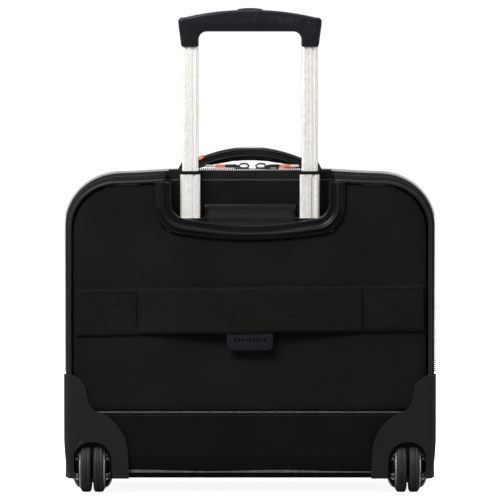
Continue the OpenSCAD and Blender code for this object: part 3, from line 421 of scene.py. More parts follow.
def build_materials(colours, sizes):
    """Every material of the case by its short name."""
    return {
        "back_nylon": fabric("Back nylon", colours.nylon, sizes.weave, 3.0, 0.78, math.radians(45)),
        "gusset_nylon": fabric("Gusset nylon", colours.side_nylon, sizes.weave, 2.0, 0.85, specular=0.04),
        "handle_fabric": fabric("Handle fabric", colours.side_nylon, sizes.weave, 2.0, 0.7, specular=0.12),
        "lining": fabric("Lining", colours.lining, 0.0011, 2.0, 0.7, specular=0.3),
        "webbing": strap_cloth("Webbing", colours.webbing),
        "zip_tape": strap_cloth("Zip tape", colours.side_nylon, 0.0009),
        "leatherette": pressed("Leatherette", colours.leather, 0.45, 900.0, 0.00010, 0.06),
        "piping": pressed("Piping", colours.piping, 0.4, 900.0, 0.0001, 0.16),
        "label": pressed("Label leather", colours.label, 0.46, 700.0, 0.0002, 0.15),
        "thread": fabric("Thread", colours.thread, 0.0006, 2.0, 0.6),
        "pale_thread": fabric("Pale thread", (0.11, 0.11, 0.11), 0.0006, 2.0, 0.6),
        "dark_thread": fabric("Dark thread", (0.006, 0.006, 0.007), 0.0006, 2.0, 0.6),
        "guard": pressed("Guard plastic", colours.shell, 0.42, 1100.0, 0.00007, 0.16, 2.2),
        "bezel": pressed("Bezel plastic", colours.bezel, 0.3, 1300.0, 0.00003, 0.12, 2.0),
        "tray": pressed("Tray plastic", colours.bezel, 0.3, 1300.0, 0.00004, 0.12),
        "dark_nylon": pressed("Dark nylon", (0.0030, 0.0030, 0.0032), 0.5, 1000.0, 0.00008, 0.12),
        "grip": pressed("Grip plastic", colours.grip, 0.22, 1400.0, 0.00002, 0.26, 2.0),
        "insert": pressed("Insert plastic", colours.insert, 0.34, 1400.0, 0.00002, 0.5, 1.2),
        "tyre": pressed("Tyre rubber", colours.rubber, 0.5, 1000.0, 0.0001, 0.2, 1.8),
        "rubber": pressed("Foot rubber", colours.rubber, 0.6, 700.0, 0.0001, 0.4),
        "accent": pressed("Accent rubber", colours.accent, 0.45, 900.0, 0.00006),
        "tube": metal("Anodised tube", colours.tube, 0.3, metallic=0.6),
        "fixed_tube": metal("Fixed tube", colours.tube, 0.34, metallic=0.6),
        "steel": metal("Steel", (0.62, 0.61, 0.6), 0.25),
        "silver": metal("Hub silver", colours.silver, 0.3, 0.00003, 0.85),
        "coil": pressed("Zip coil", (0.035, 0.035, 0.037), 0.4, 900.0, 0.00003, 0.3),
        "zip_metal": metal("Dark zip metal", (0.05, 0.05, 0.055), 0.28),
        "pale_pull": pressed("Pale pull end", (0.42, 0.41, 0.4), 0.4, 900.0, 0.00005),
        "board": pressed("Fibre board", colours.lining, 0.7, 500.0, 0.0002),
    }


def look_of(name):
    """One of the case's materials; all are made the first time that one is asked for."""
    if not looks:
        scene = bpy.context.scene
        looks.update(build_materials(scene.case_colours, scene.case_sizes))
    return looks[name]


# ---- Mesh helpers ----


def face_outward(bm, inside):
    """Turns an open sheet so that its faces look away from a point."""
    bmesh.ops.recalc_face_normals(bm, faces=bm.faces)
    away = sum(face.normal.dot(face.calc_center_median() - inside) * face.calc_area() for face in bm.faces)
    if away < 0 and any(edge.is_boundary for edge in bm.edges):
        bmesh.ops.reverse_faces(bm, faces=bm.faces)


def piece(
    name, bm, look, body="case", replaces=(), smooth=40.0, thickness=0.0, bevel=0.0, subdivide=0
):
    """Turns a bmesh into a piece that rides on a body, stands for CAD nodes and has its look."""
    face_outward(bm, case_heart)
    mesh = bpy.data.meshes.new(name)
    bm.to_mesh(mesh)
    bm.free()
    made = bpy.data.objects.new(name, mesh)
    bpy.context.scene.collection.objects.link(made)
    if look:
        mesh.materials.append(look_of(look))
    mesh.shade_smooth()
    mesh.set_sharp_from_angle(angle=math.radians(smooth))
    if thickness:
        wall = made.modifiers.new("Wall", "SOLIDIFY")
        wall.thickness = thickness
        wall.offset = -1.0
    if bevel:
        rim = made.modifiers.new("Rim", "BEVEL")
        rim.width = bevel
        rim.segments = 2
        rim.limit_method = "ANGLE"
        rim.angle_limit = math.radians(50)
    if subdivide:
        smoother = made.modifiers.new("Smoother", "SUBSURF")
        smoother.levels = subdivide
        smoother.render_levels = subdivide
    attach(made, body)
    if replaces:
        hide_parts(*replaces)
    return made


def grid(columns, rows, place, cloth=(1.0, 1.0), closed=False):
    """A sheet of columns by rows faces, with corners at place(u, v) and its cut in metres as UVs."""
    bm = bmesh.new()
    cut = bm.loops.layers.uv.new("Cut")
    bmesh.ops.create_grid(bm, x_segments=columns, y_segments=rows, size=0.5)
    for face in bm.faces:
        for loop in face.loops:
            corner = loop.vert.co
            loop[cut].uv = ((corner.x + 0.5) * cloth[0], (corner.y + 0.5) * cloth[1])
    for vert in bm.verts:
        vert.co = place(vert.co.x + 0.5, vert.co.y + 0.5)
    if closed:
        bmesh.ops.remove_doubles(bm, verts=bm.verts, dist=0.00001)
    return bm


def both_sides(bm):
    """Adds the mirror image across the middle plane and joins the two where they meet."""
    parts = bm.verts[:] + bm.edges[:] + bm.faces[:]
    bmesh.ops.mirror(bm, geom=parts, merge_dist=0.00002, axis="X")
    return bm


def box_cut(bm):
    """Gives every face a cut in metres, laid flat along its main direction."""
    cut = bm.loops.layers.uv.get("Cut") or bm.loops.layers.uv.new("Cut")
    for face in bm.faces:
        size = [abs(part) for part in face.normal]
        main = size.index(max(size))
        across, up = ((1, 2), (0, 2), (0, 1))[main]
        for loop in face.loops:
            loop[cut].uv = (loop.vert.co[across], loop.vert.co[up])
    return bm


def prism(outline, push, bevel=0.0, segments=3):
    """A solid with the given outline of points, pushed along a direction, with its rims rounded."""
    bm = bmesh.new()
    face = bm.faces.new([bm.verts.new(point) for point in outline])
    swept = bmesh.ops.extrude_face_region(bm, geom=[face])["geom"]
    bmesh.ops.translate(bm, verts=[part for part in swept if isinstance(part, bmesh.types.BMVert)], vec=push)
    bmesh.ops.recalc_face_normals(bm, faces=bm.faces)
    if bevel:
        rims = [edge for edge in bm.edges if edge.calc_face_angle(0.0) > 1.0]
        bmesh.ops.bevel(
            bm,
            geom=rims,
            offset=bevel,
            segments=segments,
            affect="EDGES",
            profile=0.5,
            material=-1,
            clamp_overlap=True,
        )
    return box_cut(bm)


def join(*parts):
    """One bmesh made of several, which are freed."""
    whole = bmesh.new()
    for part in parts:
        spare = bpy.data.meshes.new("spare")
        part.to_mesh(spare)
        part.free()
        whole.from_mesh(spare)
        bpy.data.meshes.remove(spare)
    return whole


def arc(centre, radius, start, end, steps):
    """Points (x, z) on an arc, with its angles in degrees."""
    points = []
    for step in range(steps + 1):
        angle = math.radians(start + (end - start) * step / steps)
        points.append((centre[0] + radius * math.cos(angle), centre[1] + radius * math.sin(angle)))
    return points


def rounded(half, low, high, top_r, low_r, steps=8):
    """Closed outline (x, z) of an upright rectangle with rounded top and bottom corners."""
    return (
        arc((-half + low_r, low + low_r), low_r, 270, 180, steps)
        + arc((-half + top_r, high - top_r), top_r, 180, 90, steps)
        + arc((half - top_r, high - top_r), top_r, 90, 0, steps)
        + arc((half - low_r, low + low_r), low_r, 0, -90, steps)
    )


def at_depth(points, y, x=0.0):
    """Outline points (x, z) as points in space at one depth."""
    return [Vector((point[0] + x, y, point[1])) for point in points]


def smooth_line(points, count):
    """Points spaced evenly along a smooth curve through the given ones."""
    padded = [points[0], *points, points[-1]]
    fine = []
    for i in range(1, len(padded) - 2):
        a, b, c, d = (Vector(padded[i + k]) for k in (-1, 0, 1, 2))
        for step in range(16):
            t = step / 16
            square = 2 * a - 5 * b + 4 * c - d
            cube = 3 * b - a - 3 * c + d
            fine.append(0.5 * (2 * b + (c - a) * t + square * t * t + cube * t**3))
    fine.append(Vector(points[-1]))
    return even(fine, count)


def even(points, count):
    """Count points spaced evenly along a line through the given ones."""
    reach = [0.0]
    for before, after in zip(points, points[1:]):
        reach.append(reach[-1] + (Vector(after) - Vector(before)).length)
    spaced = []
    place = 0
    for step in range(count):
        wanted = reach[-1] * step / (count - 1)
        while place < len(points) - 2 and reach[place + 1] < wanted:
            place += 1
        span = reach[place + 1] - reach[place] or 1.0
        share = min(1.0, (wanted - reach[place]) / span)
        spaced.append(Vector(points[place]).lerp(Vector(points[place + 1]), share))
    return spaced


def length_of(points):
    """Length of a line through points."""
    return sum((Vector(b) - Vector(a)).length for a, b in zip(points, points[1:]))


def half_arch(half, low, high, radius, stop=0.0):
    """Fine points (x, z) up one side of the case, round its shoulder and along its top as far as x = stop."""
    points = [(half, low + (high - radius - low) * step / 40) for step in range(40)]
    points += arc((half - radius, high - radius), radius, 0, 90, 24)
    points += [(half - radius + (stop - half + radius) * step / 20, high) for step in range(1, 21)]
    return points


def beads(path, pitch, size, lift=Vector((0, 0, 0)), turn=0.0, across=0.0):
    """Small rounded solids in a row along a path: stitches, or the teeth of a zip.

    Size is their length along the path, width and height. Across sets them off to one side of it."""
    bm = bmesh.new()
    count = max(2, round(length_of(path) / pitch))
    places = even(path, count + 1)
    for before, after in zip(places, places[1:]):
        along = (after - before).normalized()
        side = along.cross(lift if lift.length else Vector((0, -1, 0))).normalized()
        up = side.cross(along)
        middle = (before + after) / 2 + lift + side * across
        turned = Matrix.Rotation(turn, 3, up)
        axes = Matrix((turned @ along, turned @ side, up)).transposed().to_4x4()
        halves = Matrix.Diagonal((size[0] / 2, size[1] / 2, size[2] / 2, 1.0))
        shape = Matrix.Translation(middle) @ axes @ halves
        bmesh.ops.create_icosphere(bm, subdivisions=1, radius=1.0, matrix=shape)
    return box_cut(bm)


def cord_round(path, radius, sides_round=10, closed=False):
    """A round cord along a path of points, with its cut in metres."""
    steps = max(8, round(length_of(path) / 0.004))
    points = even(path, steps + 1)
    whole = length_of(path)

    def place(u, v):
        i = min(round(u * steps), steps)
        before, after = points[max(i - 1, 0)], points[min(i + 1, steps)]
        along = (after - before).normalized()
        side = along.cross(Vector((0, 1, 0))).normalized()
        up = side.cross(along)
        angle = v * 2 * math.pi
        return points[i] + side * math.cos(angle) * radius + up * math.sin(angle) * radius

    bm = grid(steps, sides_round, place, (whole, 2 * math.pi * radius), closed=True)
    if not closed:
        bmesh.ops.holes_fill(bm, edges=[edge for edge in bm.edges if edge.is_boundary])
    return bm


def lumps(point, amount, scale=9.0):
    """How far a point of stuffed fabric stands out or sinks in."""
    return amount * noise.noise(Vector(point) * scale)


def bake(made):
    """Applies an object's modifiers to its mesh."""
    graph = bpy.context.evaluated_depsgraph_get()
    mesh = bpy.data.meshes.new_from_object(made.evaluated_get(graph), depsgraph=graph)
    made.modifiers.clear()
    made.data = mesh


def stuff(name, bm, look, voxel, cap, body="case", replaces=()):
    """A padded piece: its solid is remeshed, puffed up as cloth and held within cap of its start."""
    made = piece(name, bm, look, body, replaces, smooth=180.0)
    remesh = made.modifiers.new("Remesh", "REMESH")
    remesh.mode = "VOXEL"
    remesh.voxel_size = voxel
    bake(made)
    start = [vert.co.copy() for vert in made.data.vertices]
    cloth = made.modifiers.new("Cloth", "CLOTH")
    cloth.settings.use_pressure = True
    cloth.settings.uniform_pressure_force = 4.0
    cloth.settings.effector_weights.gravity = 0.0
    scene = bpy.context.scene
    for moment in range(1, 21):
        scene.frame_set(moment)
    bake(made)
    scene.frame_set(1)
    for vert, before in zip(made.data.vertices, start):
        moved = vert.co - before
        if moved.length > cap:
            vert.co = before + moved.normalized() * cap
    soft = bmesh.new()
    soft.from_mesh(made.data)
    bmesh.ops.smooth_vert(
        soft, verts=soft.verts, factor=0.5, use_axis_x=True, use_axis_y=True, use_axis_z=True
    )
    box_cut(soft)
    soft.to_mesh(made.data)
    soft.free()
    made.data.materials.clear()
    made.data.materials.append(look_of(look))
    made.data.shade_smooth()
    smoother = made.modifiers.new("Smoother", "SUBSURF")
    smoother.levels = 1
    smoother.render_levels = 1
    return made


# ---- Fabric body ----


def depth(distance):
    """The Y of a point that far in front of the back panel's outer face."""
    return back_y + distance


def shoulder(distance, reach=0.025):
    """How far the shoulder is drawn in, from 0 where it starts to 1 at its end."""
    share = min(1.0, max(0.0, distance / reach))
    return 1.0 - math.sqrt(1.0 - 0.985 * share * share)


def gusset(name, y_from, y_to, drawn, body, replaces, low=0.0175, stop=0.0, lump=0.0011, rows=14):
    """Fabric that runs up one side, over the top and down the other, drawn in where drawn(y) is above 0."""
    columns = 84
    stations = []
    for row in range(rows + 1):
        y = y_from + (y_to - y_from) * row / rows
        pull = drawn(y)
        path = half_arch(
            case_half - side_drop * pull, low, case_top - top_drop * pull, corner_r - corner_drop * pull, stop
        )
        stations.append((y, even([drooped(point) for point in path], columns + 1)))

    def place(u, v):
        y, path = stations[round(v * rows)]
        x, z = path[round(u * columns)]
        return Vector((x, depth(y), z))

    cut = (length_of(half_arch(case_half, low, case_top, corner_r, stop)), y_to - y_from)
    bm = both_sides(grid(columns, rows, place, cut))
    for vert in bm.verts:
        across = (vert.co.y - depth(y_from)) / (y_to - y_from)
        ease = math.sin(math.pi * min(1.0, max(0.0, across))) ** 0.5
        outward = Vector((vert.co.x, 0, max(0.0, vert.co.z - case_top + 2 * corner_r) * 1.4))
        swell = lumps(vert.co, lump) + 0.0007
        vert.co += outward.normalized() * swell * ease
    return piece(name, bm, "gusset_nylon", body, replaces, thickness=cloth_t)


def build_gussets(sizes):
    """The side and top fabric: rear shoulder, main body and front section."""
    lump = sizes.lumps
    tray_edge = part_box("handle_tray")[1].x + 0.003
    gusset(
        "rear_gusset_fabric", 0.0022, 0.0352, lambda y: shoulder(0.0282 - y), "case",
        ["rear_gusset"], stop=tray_edge, lump=lump * 0.7,
    )
    build_ledge()
    gusset(
        "main_gusset_fabric", 0.0408, 0.1371, lambda y: 0.0, "case",
        ["main_gusset"], lump=lump, rows=26,
    )
    gusset(
        "front_gusset_fabric", 0.1429, 0.1862, lambda y: shoulder(y - 0.160), "front_section",
        ["front_gusset"], low=0.0622, lump=lump,
    )


def drooped(point):
    """Lowers a point near the top of the case towards its sides, where soft cloth sags."""
    aside = min(1.0, max(0.0, (abs(point[0]) - 0.075) / 0.075))
    near_top = min(1.0, max(0.0, (point[-1] - case_top + corner_r) / corner_r))
    sag = 0.0032 * aside * aside * (3 - 2 * aside) * near_top
    if len(point) == 2:
        return point[0], point[1] - sag
    return Vector((point[0], point[1], point[2] - sag))


def case_path(y, out, low, drawn=0.0):
    """Points in space right round the sides and top of the case at one depth."""
    radius = corner_r - corner_drop * drawn + out
    half = half_arch(case_half - side_drop * drawn + out, low, case_top - top_drop * drawn + out, radius)
    half = [drooped(point) for point in half]
    right = [Vector((x, depth(y), z)) for x, z in half]
    left = [Vector((-x, depth(y), z)) for x, z in reversed(half[:-1])]
    return right + left


def zip_tape(name, y_from, y_to, low, body):
    """The cloth strip of a zip, laid along the sides and top of the case."""
    path = even(case_path((y_from + y_to) / 2, 0.0002, low), 181)

    def place(u, v):
        point = path[round(u * 180)]
        return Vector((point.x, depth(y_from + (y_to - y_from) * v), point.z))

    tape = grid(180, 2, place, (length_of(path), y_to - y_from))
    piece(name + "_tape", tape, "zip_tape", body, [name], thickness=0.0012)


def build_zips(sizes):
    """The laptop section's zip and the zip that joins the front section."""
    rear_y, front_y, zip_low = 0.0346, 0.0414, 0.136
    zip_tape("laptop_zip", rear_y, front_y, zip_low, "case")
    teeth = []
    for side in sides:
        row = case_path((rear_y + front_y) / 2 + side * 0.0013, 0.0017, zip_low)
        teeth.append(beads(row, sizes.tooth, (0.0014, 0.0032, 0.0030), turn=side * math.radians(16)))
    piece("laptop_zip_teeth", join(*teeth), "coil", "case", smooth=80)

    zip_low = 0.068
    for name, low, high, body in (
        ("section_zip_rear", 0.1368, 0.1399, "case"),
        ("section_zip_front", 0.1401, 0.1432, "front_section"),
    ):
        zip_tape(name, low, high, zip_low, body)
        near = high - 0.0011 if body == "case" else low + 0.0011
        teeth = beads(case_path(near, 0.0006, zip_low), sizes.tooth, (0.0011, 0.0018, 0.0013))
        piece(name + "_teeth", teeth, "coil", body, smooth=80)


def behind_tubes(point, y):
    """Moves a point of the rear rim back to a depth behind the pull handle's tubes where it passes them."""
    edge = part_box("handle_tray")[1].x + 0.001
    share = min(1.0, max(0.0, (edge + 0.005 - abs(point.x)) / 0.005))
    if point.z < case_top - 0.02:
        share = 0.0
    return Vector((point.x, point.y + (depth(y) - point.y) * share, point.z))


def build_ledge():
    """The strip of side fabric between the pull handle's tubes and the laptop zip."""
    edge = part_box("handle_tray")[1].x + 0.0035
    profile = [(ledge_y, case_top - 0.022)]
    profile += [(ledge_y + 0.0003, case_top - top_drop)]
    end_y = 0.0352
    for step in range(1, 9):
        angle = math.pi / 2 * step / 8
        ledge_place = ledge_y + (end_y - ledge_y) * (1 - math.cos(angle))
        profile.append((ledge_place, case_top - top_drop * (1 - math.sin(angle))))

    def place(u, v):
        y, z = profile[round(v * 9)]
        return Vector((-edge + 2 * edge * u, depth(y), z))

    strip = grid(60, 9, place, (2 * edge, length_of([Vector(point) for point in profile])))
    piece("rear_gusset_ledge", strip, "gusset_nylon", "case", thickness=cloth_t)


def build_piping(sizes):
    """Covered cords round the back and front panels, with the stitches that hold them."""
    for name, y, low, body in (
        ("back_piping", 0.0006, 0.126, "case"),
        ("front_piping", 0.1874, 0.0625, "front_section"),
    ):
        path = case_path(y, -0.0006, low, 1.0)
        if name == "back_piping":
            path = [behind_tubes(point, ledge_y) for point in even(path, 241)]
        cord = cord_round(path, 0.0021)
        piece(name + "_cord", cord, "piping", body, [name])
        inward = 0.0082 if name == "back_piping" else -0.0082
        start = 0.0282 if name == "back_piping" else 0.160
        row = case_path(y + inward, 0.0002, low, shoulder(abs(start - y - inward)))
        if name == "back_piping":
            row = [behind_tubes(point, ledge_y + 0.0045) for point in even(row, 241)]
        thread = beads(row, sizes.stitch * 0.8, (0.0019, 0.0010, 0.0010))
        piece(name + "_stitches", thread, "pale_thread", body, smooth=80)


def panel_outline(grow, low, notch=0.0, notch_low=0.0):
    """Closed outline (x, z) of a large panel, with an optional notch in its top edge."""
    half, high, radius = panel_half + grow, panel_top + grow, panel_corner_r + grow
    left = arc((-half + radius, high - radius), radius, 180, 90, 16)
    right = arc((half - radius, high - radius), radius, 90, 0, 16)
    middle = []
    if notch:
        middle = [(-notch, high), (-notch, notch_low), (notch, notch_low), (notch, high)]
    return [drooped(point) for point in ((half, low), (-half, low), *left, *middle, *right)]


def build_back_panel():
    """The padded nylon panel of the back."""
    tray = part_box("handle_tray")
    outline = panel_outline(0.0006, back_low.z + 0.0004, tray[1].x + 0.003, tray[0].z - 0.002)
    slab = prism(at_depth(outline, depth(0.0013)), Vector((0, 0.0078, 0)))
    stuff("back_fabric", slab, "back_nylon", 0.0034, 0.0012, "case", ["back_panel"])


def build_lower_panel(sizes):
    """The coated lower panel that rolls under the case, with its binding and stitches; the pale colour of the
    binding cord is a painted highlight along the seam, and the pale stitches paint the highlight of the
    puffed leatherette between stitches.
    """
    seam_z = back_low.z
    half = panel_half
    roll_high, roll_deep = 0.030, 0.0095
    floor_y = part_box("lower_panel")[1].y - back_y
    profile = [(0.0004, seam_z - (seam_z - case_floor - roll_high) * step / 12)
               for step in range(12)]
    for step in range(15):
        angle = math.pi / 2 * step / 14
        rolled_y = 0.0004 + roll_deep * (1 - math.cos(angle))
        profile.append((rolled_y, case_floor + roll_high * (1 - math.sin(angle))))
    profile += [(roll_deep + (floor_y - roll_deep) * step / 6, case_floor) for step in range(1, 7)]
    rows = len(profile) - 1

    def place(u, v):
        y, z = profile[round(v * rows)]
        x = -half + 2 * half * u
        point = Vector((x, depth(y), z))
        face = max(0.0, 1.0 - y / 0.01) * math.sin(math.pi * u) ** 0.3
        point.y += lumps((x, 0.0, z), 0.0011, 11.0) * face
        return point

    bm = grid(90, rows, place, (2 * half, length_of(profile)))
    piece("lower_leatherette", bm, "leatherette", "case", ["lower_panel"], thickness=0.002)
    ends = 0.168
    seam = [Vector((-ends, depth(-0.0004), seam_z + 0.0006)), Vector((ends, depth(-0.0004), seam_z + 0.0006))]
    # Pale thread colour on the thin binding cord: a painted highlight along the top of the seam.
    piece("lower_binding_painted_highlight", cord_round(seam, 0.0006), "thread", "case")
    row = [point - Vector((0, 0.0, 0.0026)) for point in seam]
    # Real stitches, but their pale thread colour is a painted highlight standing in for the lit, puffed
    # leatherette between dark stitches.
    thread = beads(row, 1.35 * sizes.stitch, (0.0022, 0.0013, 0.0010), lift=Vector((0, -0.0003, 0)))
    piece("lower_stitches_painted_highlight", thread, "thread", "case", smooth=80)


# ---- Trolley band and label ----


def band_tilt(point):
    """Turns a point by the band's slight slope."""
    band_middle = Vector((0, 0, (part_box("band_label")[1].z + 0.013)))
    return Matrix.Rotation(math.radians(-0.7), 3, "Y") @ (point - band_middle) + band_middle


def build_band(sizes):
    """The wide webbing band with its sewn ends, and its leather label."""
    label_low, label_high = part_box("band_label")
    band_low, band_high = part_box("trolley_band")
    middle_z = (band_low.z + band_high.z) / 2
    band_h = 0.052
    loose = 0.1262
    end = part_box("band_patches")[1].x

    def front(x):
        return -0.0022 - sizes.bow * math.cos(math.pi / 2 * min(1.0, abs(x) / loose)) ** 1.2

    def loose_place(u, v):
        x = -loose + 2 * loose * u
        sag = 0.0007 * math.cos(math.pi / 2 * x / loose) * math.sin(math.pi * v)
        z = middle_z - band_h / 2 + band_h * v + lumps((x, v * 0.02, 0), 0.0008, 14.0)
        return band_tilt(Vector((x, depth(front(x) + sag), z)))

    stations = [-loose + 2 * loose * step / 80 for step in range(81)]
    line = [Vector((x, front(x), 0)) for x in stations]
    long = length_of(line)
    band_cloth = grid(110, 12, loose_place, (long, band_h))
    band = piece(
        "trolley_band_webbing", band_cloth, "webbing", "case", ["trolley_band"], thickness=0.0016
    )
    for side, name in zip(sides, ("left", "right")):
        width = end - loose + 0.003

        def patch_place(u, v, side=side, width=width):
            x = side * (loose - 0.003 + width * u)
            z = middle_z - 0.0004 - (band_h + 0.0012) * (0.5 - v) + lumps((x, v * 0.02, 3), 0.0006, 20.0)
            return band_tilt(Vector((x, depth(-0.0014), z)))

        patch = grid(24, 12, patch_place, (width, band_h))
        piece("band_patch_" + name, patch, "webbing", "case",
              ["band_patches"] if side < 0 else [], thickness=0.0014)
        rows = []
        inset = 0.0045
        near, far = loose + 0.005, end - inset
        low, high = middle_z - band_h / 2 + inset, middle_z + band_h / 2 - inset
        corners = [(near, low), (far, low), (far, high), (near, high), (near, low)]
        crossing = [(near, low), (far, high), (near, high), (far, low)]
        for start, stop in zip(corners + crossing, (corners + crossing)[1:]):
            pair = [band_tilt(Vector((side * x, depth(-0.0015), z))) for x, z in (start, stop)]
            if (pair[1] - pair[0]).length > 0.001:
                rows.append(beads(pair, sizes.stitch, (0.0023, 0.0007, 0.0006)))
        for step in range(3):
            x = side * (loose - 0.0005 + 0.0012 * step)
            pair = [band_tilt(Vector((x, depth(-0.0016), z))) for z in (low + 0.001, high - 0.001)]
            rows.append(beads(pair, 0.0015, (0.0016, 0.0008, 0.0007)))
        piece("band_stitches_" + name, join(*rows), "dark_thread", "case", smooth=80)

    half = label_high.x
    label_front = -0.0022 - sizes.bow + 0.0013
    outline = rounded(half, label_low.z, label_high.z, 0.002, 0.007)
    tag = prism(at_depth(outline, depth(label_front)), Vector((0, 0.0019, 0)), 0.0006)
    leather = piece("band_label_leather", tag, "label", "case", ["band_label"])
    edge = rounded(half - 0.0026, label_low.z + 0.0026, middle_z - band_h / 2 + 0.003, 0.001, 0.005)
    seam = beads(at_depth(edge, depth(label_front - 0.0001)), 0.0026, (0.0018, 0.0007, 0.0006))
    mark = []
    bar_h = (0.0052, 0.0036, 0.0045, 0.0036, 0.0052, 0.0036, 0.0045, 0.0036, 0.0052)
    mark_z = label_low.z + 0.0118
    for step, high in enumerate(bar_h):
        x = (step - 4) * 0.0042
        spot = Matrix.Translation((x, depth(label_front - 0.00005), mark_z))
        shape = spot @ Matrix.Diagonal((0.0014, 0.0004, high / 2, 1))
        bar = bmesh.new()
        bmesh.ops.create_icosphere(bar, subdivisions=2, radius=1.0, matrix=shape)
        mark.append(box_cut(bar))
    piece("label_stitches", seam, "dark_thread", "case", smooth=80)
    piece("label_mark", join(*mark), "dark_thread", "case", smooth=80)
    tucked = rounded(half - 0.003, middle_z - band_h / 2 + 0.002, label_high.z, 0.002, 0.001)
    over = [band_tilt(Vector((x, depth(front(x) - 0.0002), z))) for x, z in tucked]
    sewn = beads(over, sizes.stitch, (0.0022, 0.0006, 0.0005))
    piece("label_seam_on_band", sewn, "dark_thread", "case", smooth=80)


# ---- Handle housing, tubes and grip ----


def u_points(half, low, high, dip, radius):
    """Points (x, z) down a left side, round a corner, along a sagging base and up the right side."""
    flat = half - radius
    sag_r = (flat * flat + dip * dip) / (2 * dip)
    left = [(-half, high - (high - low - dip - radius) * step / 10) for step in range(10)]
    left += arc((-flat, low + dip + radius), radius, 180, 262, 14)
    base = []
    for step in range(1, 31):
        x = -flat + flat * step / 30
        base.append((x, low + sag_r - math.sqrt(sag_r * sag_r - x * x)))
    left += base[1:]
    return left + [(-x, z) for x, z in reversed(left[:-1])]


def build_bezel(sizes):
    """The U-shaped plastic surround of the handle's recess."""
    low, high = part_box("handle_bezel")
    inner = u_points(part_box("handle_tray")[1].x - 0.0028, low.z + 0.0190, high.z, 0.006, 0.018)
    outer = u_points(high.x, low.z, high.z, 0.006, 0.034)
    last = len(inner) - 1
    profile = (
        (0.0, 0.006), (0.0, -0.0030), (0.03, -0.0046), (0.09, -0.0053), (0.22, -0.0050), (0.38, -0.0046),
        (0.50, -0.0047), (0.56, -0.0052), (0.61, -0.0058), (0.66, -0.0056), (0.72, -0.0047), (0.80, -0.0040),
        (0.88, -0.0036), (0.94, -0.0030), (0.98, -0.0020), (1.0, -0.0004), (1.0, 0.0012),
    )
    rows = len(profile) - 1

    def place(u, v):
        i = round(u * last)
        share, y = profile[round(v * rows)]
        side = min(1.0, abs(u - 0.5) / 0.30) ** 2
        if 0.4 < share < 0.8:
            y -= sizes.rib * side * math.sin(math.pi * (share - 0.4) / 0.4)
        crown = 0.0018 * (1 - side) * math.sin(math.pi * share)
        a, b = inner[i], outer[i]
        return Vector((a[0] + (b[0] - a[0]) * share, depth(y - crown), a[1] + (b[1] - a[1]) * share))

    bm = grid(last, rows, place, (0.4, 0.03))
    piece(
        "handle_surround", bm, "bezel", "case", ["handle_bezel"], smooth=60,
        thickness=0.0012, subdivide=1,
    )


def build_scoop():
    """The moulded back of the recess, which slopes forward between the tube feet."""
    low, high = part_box("handle_tray")
    wall_y = high.y - back_y - 0.0018
    half = 0.0530
    top = high.z - 0.004
    profile = smooth_line(
        [
            (wall_y, top), (wall_y, low.z + 0.034), (wall_y - 0.0015, low.z + 0.026),
            (wall_y - 0.008, low.z + 0.020), (0.014, low.z + 0.013), (0.006, low.z + 0.0085),
            (0.001, low.z + 0.006),
        ],
        34,
    )

    def place(u, v):
        x = -half + 2 * half * u
        y, z = profile[round(v * 33)]
        end = max(0.0, abs(x) - half + 0.010) / 0.010
        fall = 1 - math.sqrt(max(0.0, 1 - end * end))
        slope = min(1.0, max(0.0, (wall_y - y) / 0.006))
        return Vector((x, depth(y), z - 0.007 * fall * slope))

    moulded = grid(60, 33, place, (2 * half, 0.07))
    piece("recess_scoop", moulded, "tray", "case", thickness=0.0012)


def fluted(width, deep, flutes, radius=0.0032):
    """Outline (x, y) of a tube with rounded corners and flutes along its back face."""
    half_w, half_d = width / 2, deep / 2
    points = arc((-half_w + radius, half_d - radius), radius, 90, 180, 5)
    points += arc((-half_w + radius, -half_d + radius), radius, 180, 270, 5)
    for middle, wide, low in flutes:
        points += [(middle - wide / 2, -half_d), (middle - wide / 8, -half_d + low)]
        points += [(middle + wide / 8, -half_d + low), (middle + wide / 2, -half_d)]
    points += arc((half_w - radius, -half_d + radius), radius, 270, 360, 5)
    points += arc((half_w - radius, half_d - radius), radius, 0, 90, 5)
    return points


def build_tubes():
    """The aluminium stages of the pull handle, fluted along their backs, with their collars."""
    for side in ("left", "right"):
        for stage, body, flutes in (
            ("middle", "handle_middle", ((-0.0048, 0.0022, 0.0012), (0.0042, 0.0060, 0.0017))),
            ("inner", "handle_inner", ((-0.0043, 0.0020, 0.0012), (0.0036, 0.0056, 0.0017))),
        ):
            low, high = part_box(f"{stage}_tube_{side}")
            centre = (low + high) / 2
            outline = fluted(high.x - low.x, high.y - low.y, flutes)
            points = [Vector((centre.x + x, centre.y + y, low.z)) for x, y in outline]
            tube = prism(points, Vector((0, 0, high.z - low.z)))
            stood_for = f"{stage}_tube_{side}"
            piece(stood_for + "_profile", tube, "tube", body, [stood_for], smooth=24)
    collars = []
    for side in sides:
        low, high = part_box("middle_collars")
        tube_low, tube_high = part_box("inner_tube_right")
        wide, deep = high.x - (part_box("middle_tube_right")[0].x), high.y - low.y
        middle = Vector((side * (tube_low.x + tube_high.x) / 2, (low.y + high.y) / 2, low.z - 0.0012))
        outline = fluted(wide + 0.0006, deep + 0.0012, ())
        points = [middle + Vector((x, y, 0)) for x, y in outline]
        collars.append(prism(points, Vector((0, 0, high.z - low.z + 0.0012)), 0.0005, 2))
    piece("tube_collars", join(*collars), "dark_nylon", "handle_middle", ["middle_collars"])


def grip_top(x, half, high, rise):
    """Height of the grip's arched top."""
    radius = (half * half + rise * rise) / (2 * rise)
    return high - radius + math.sqrt(radius * radius - x * x)


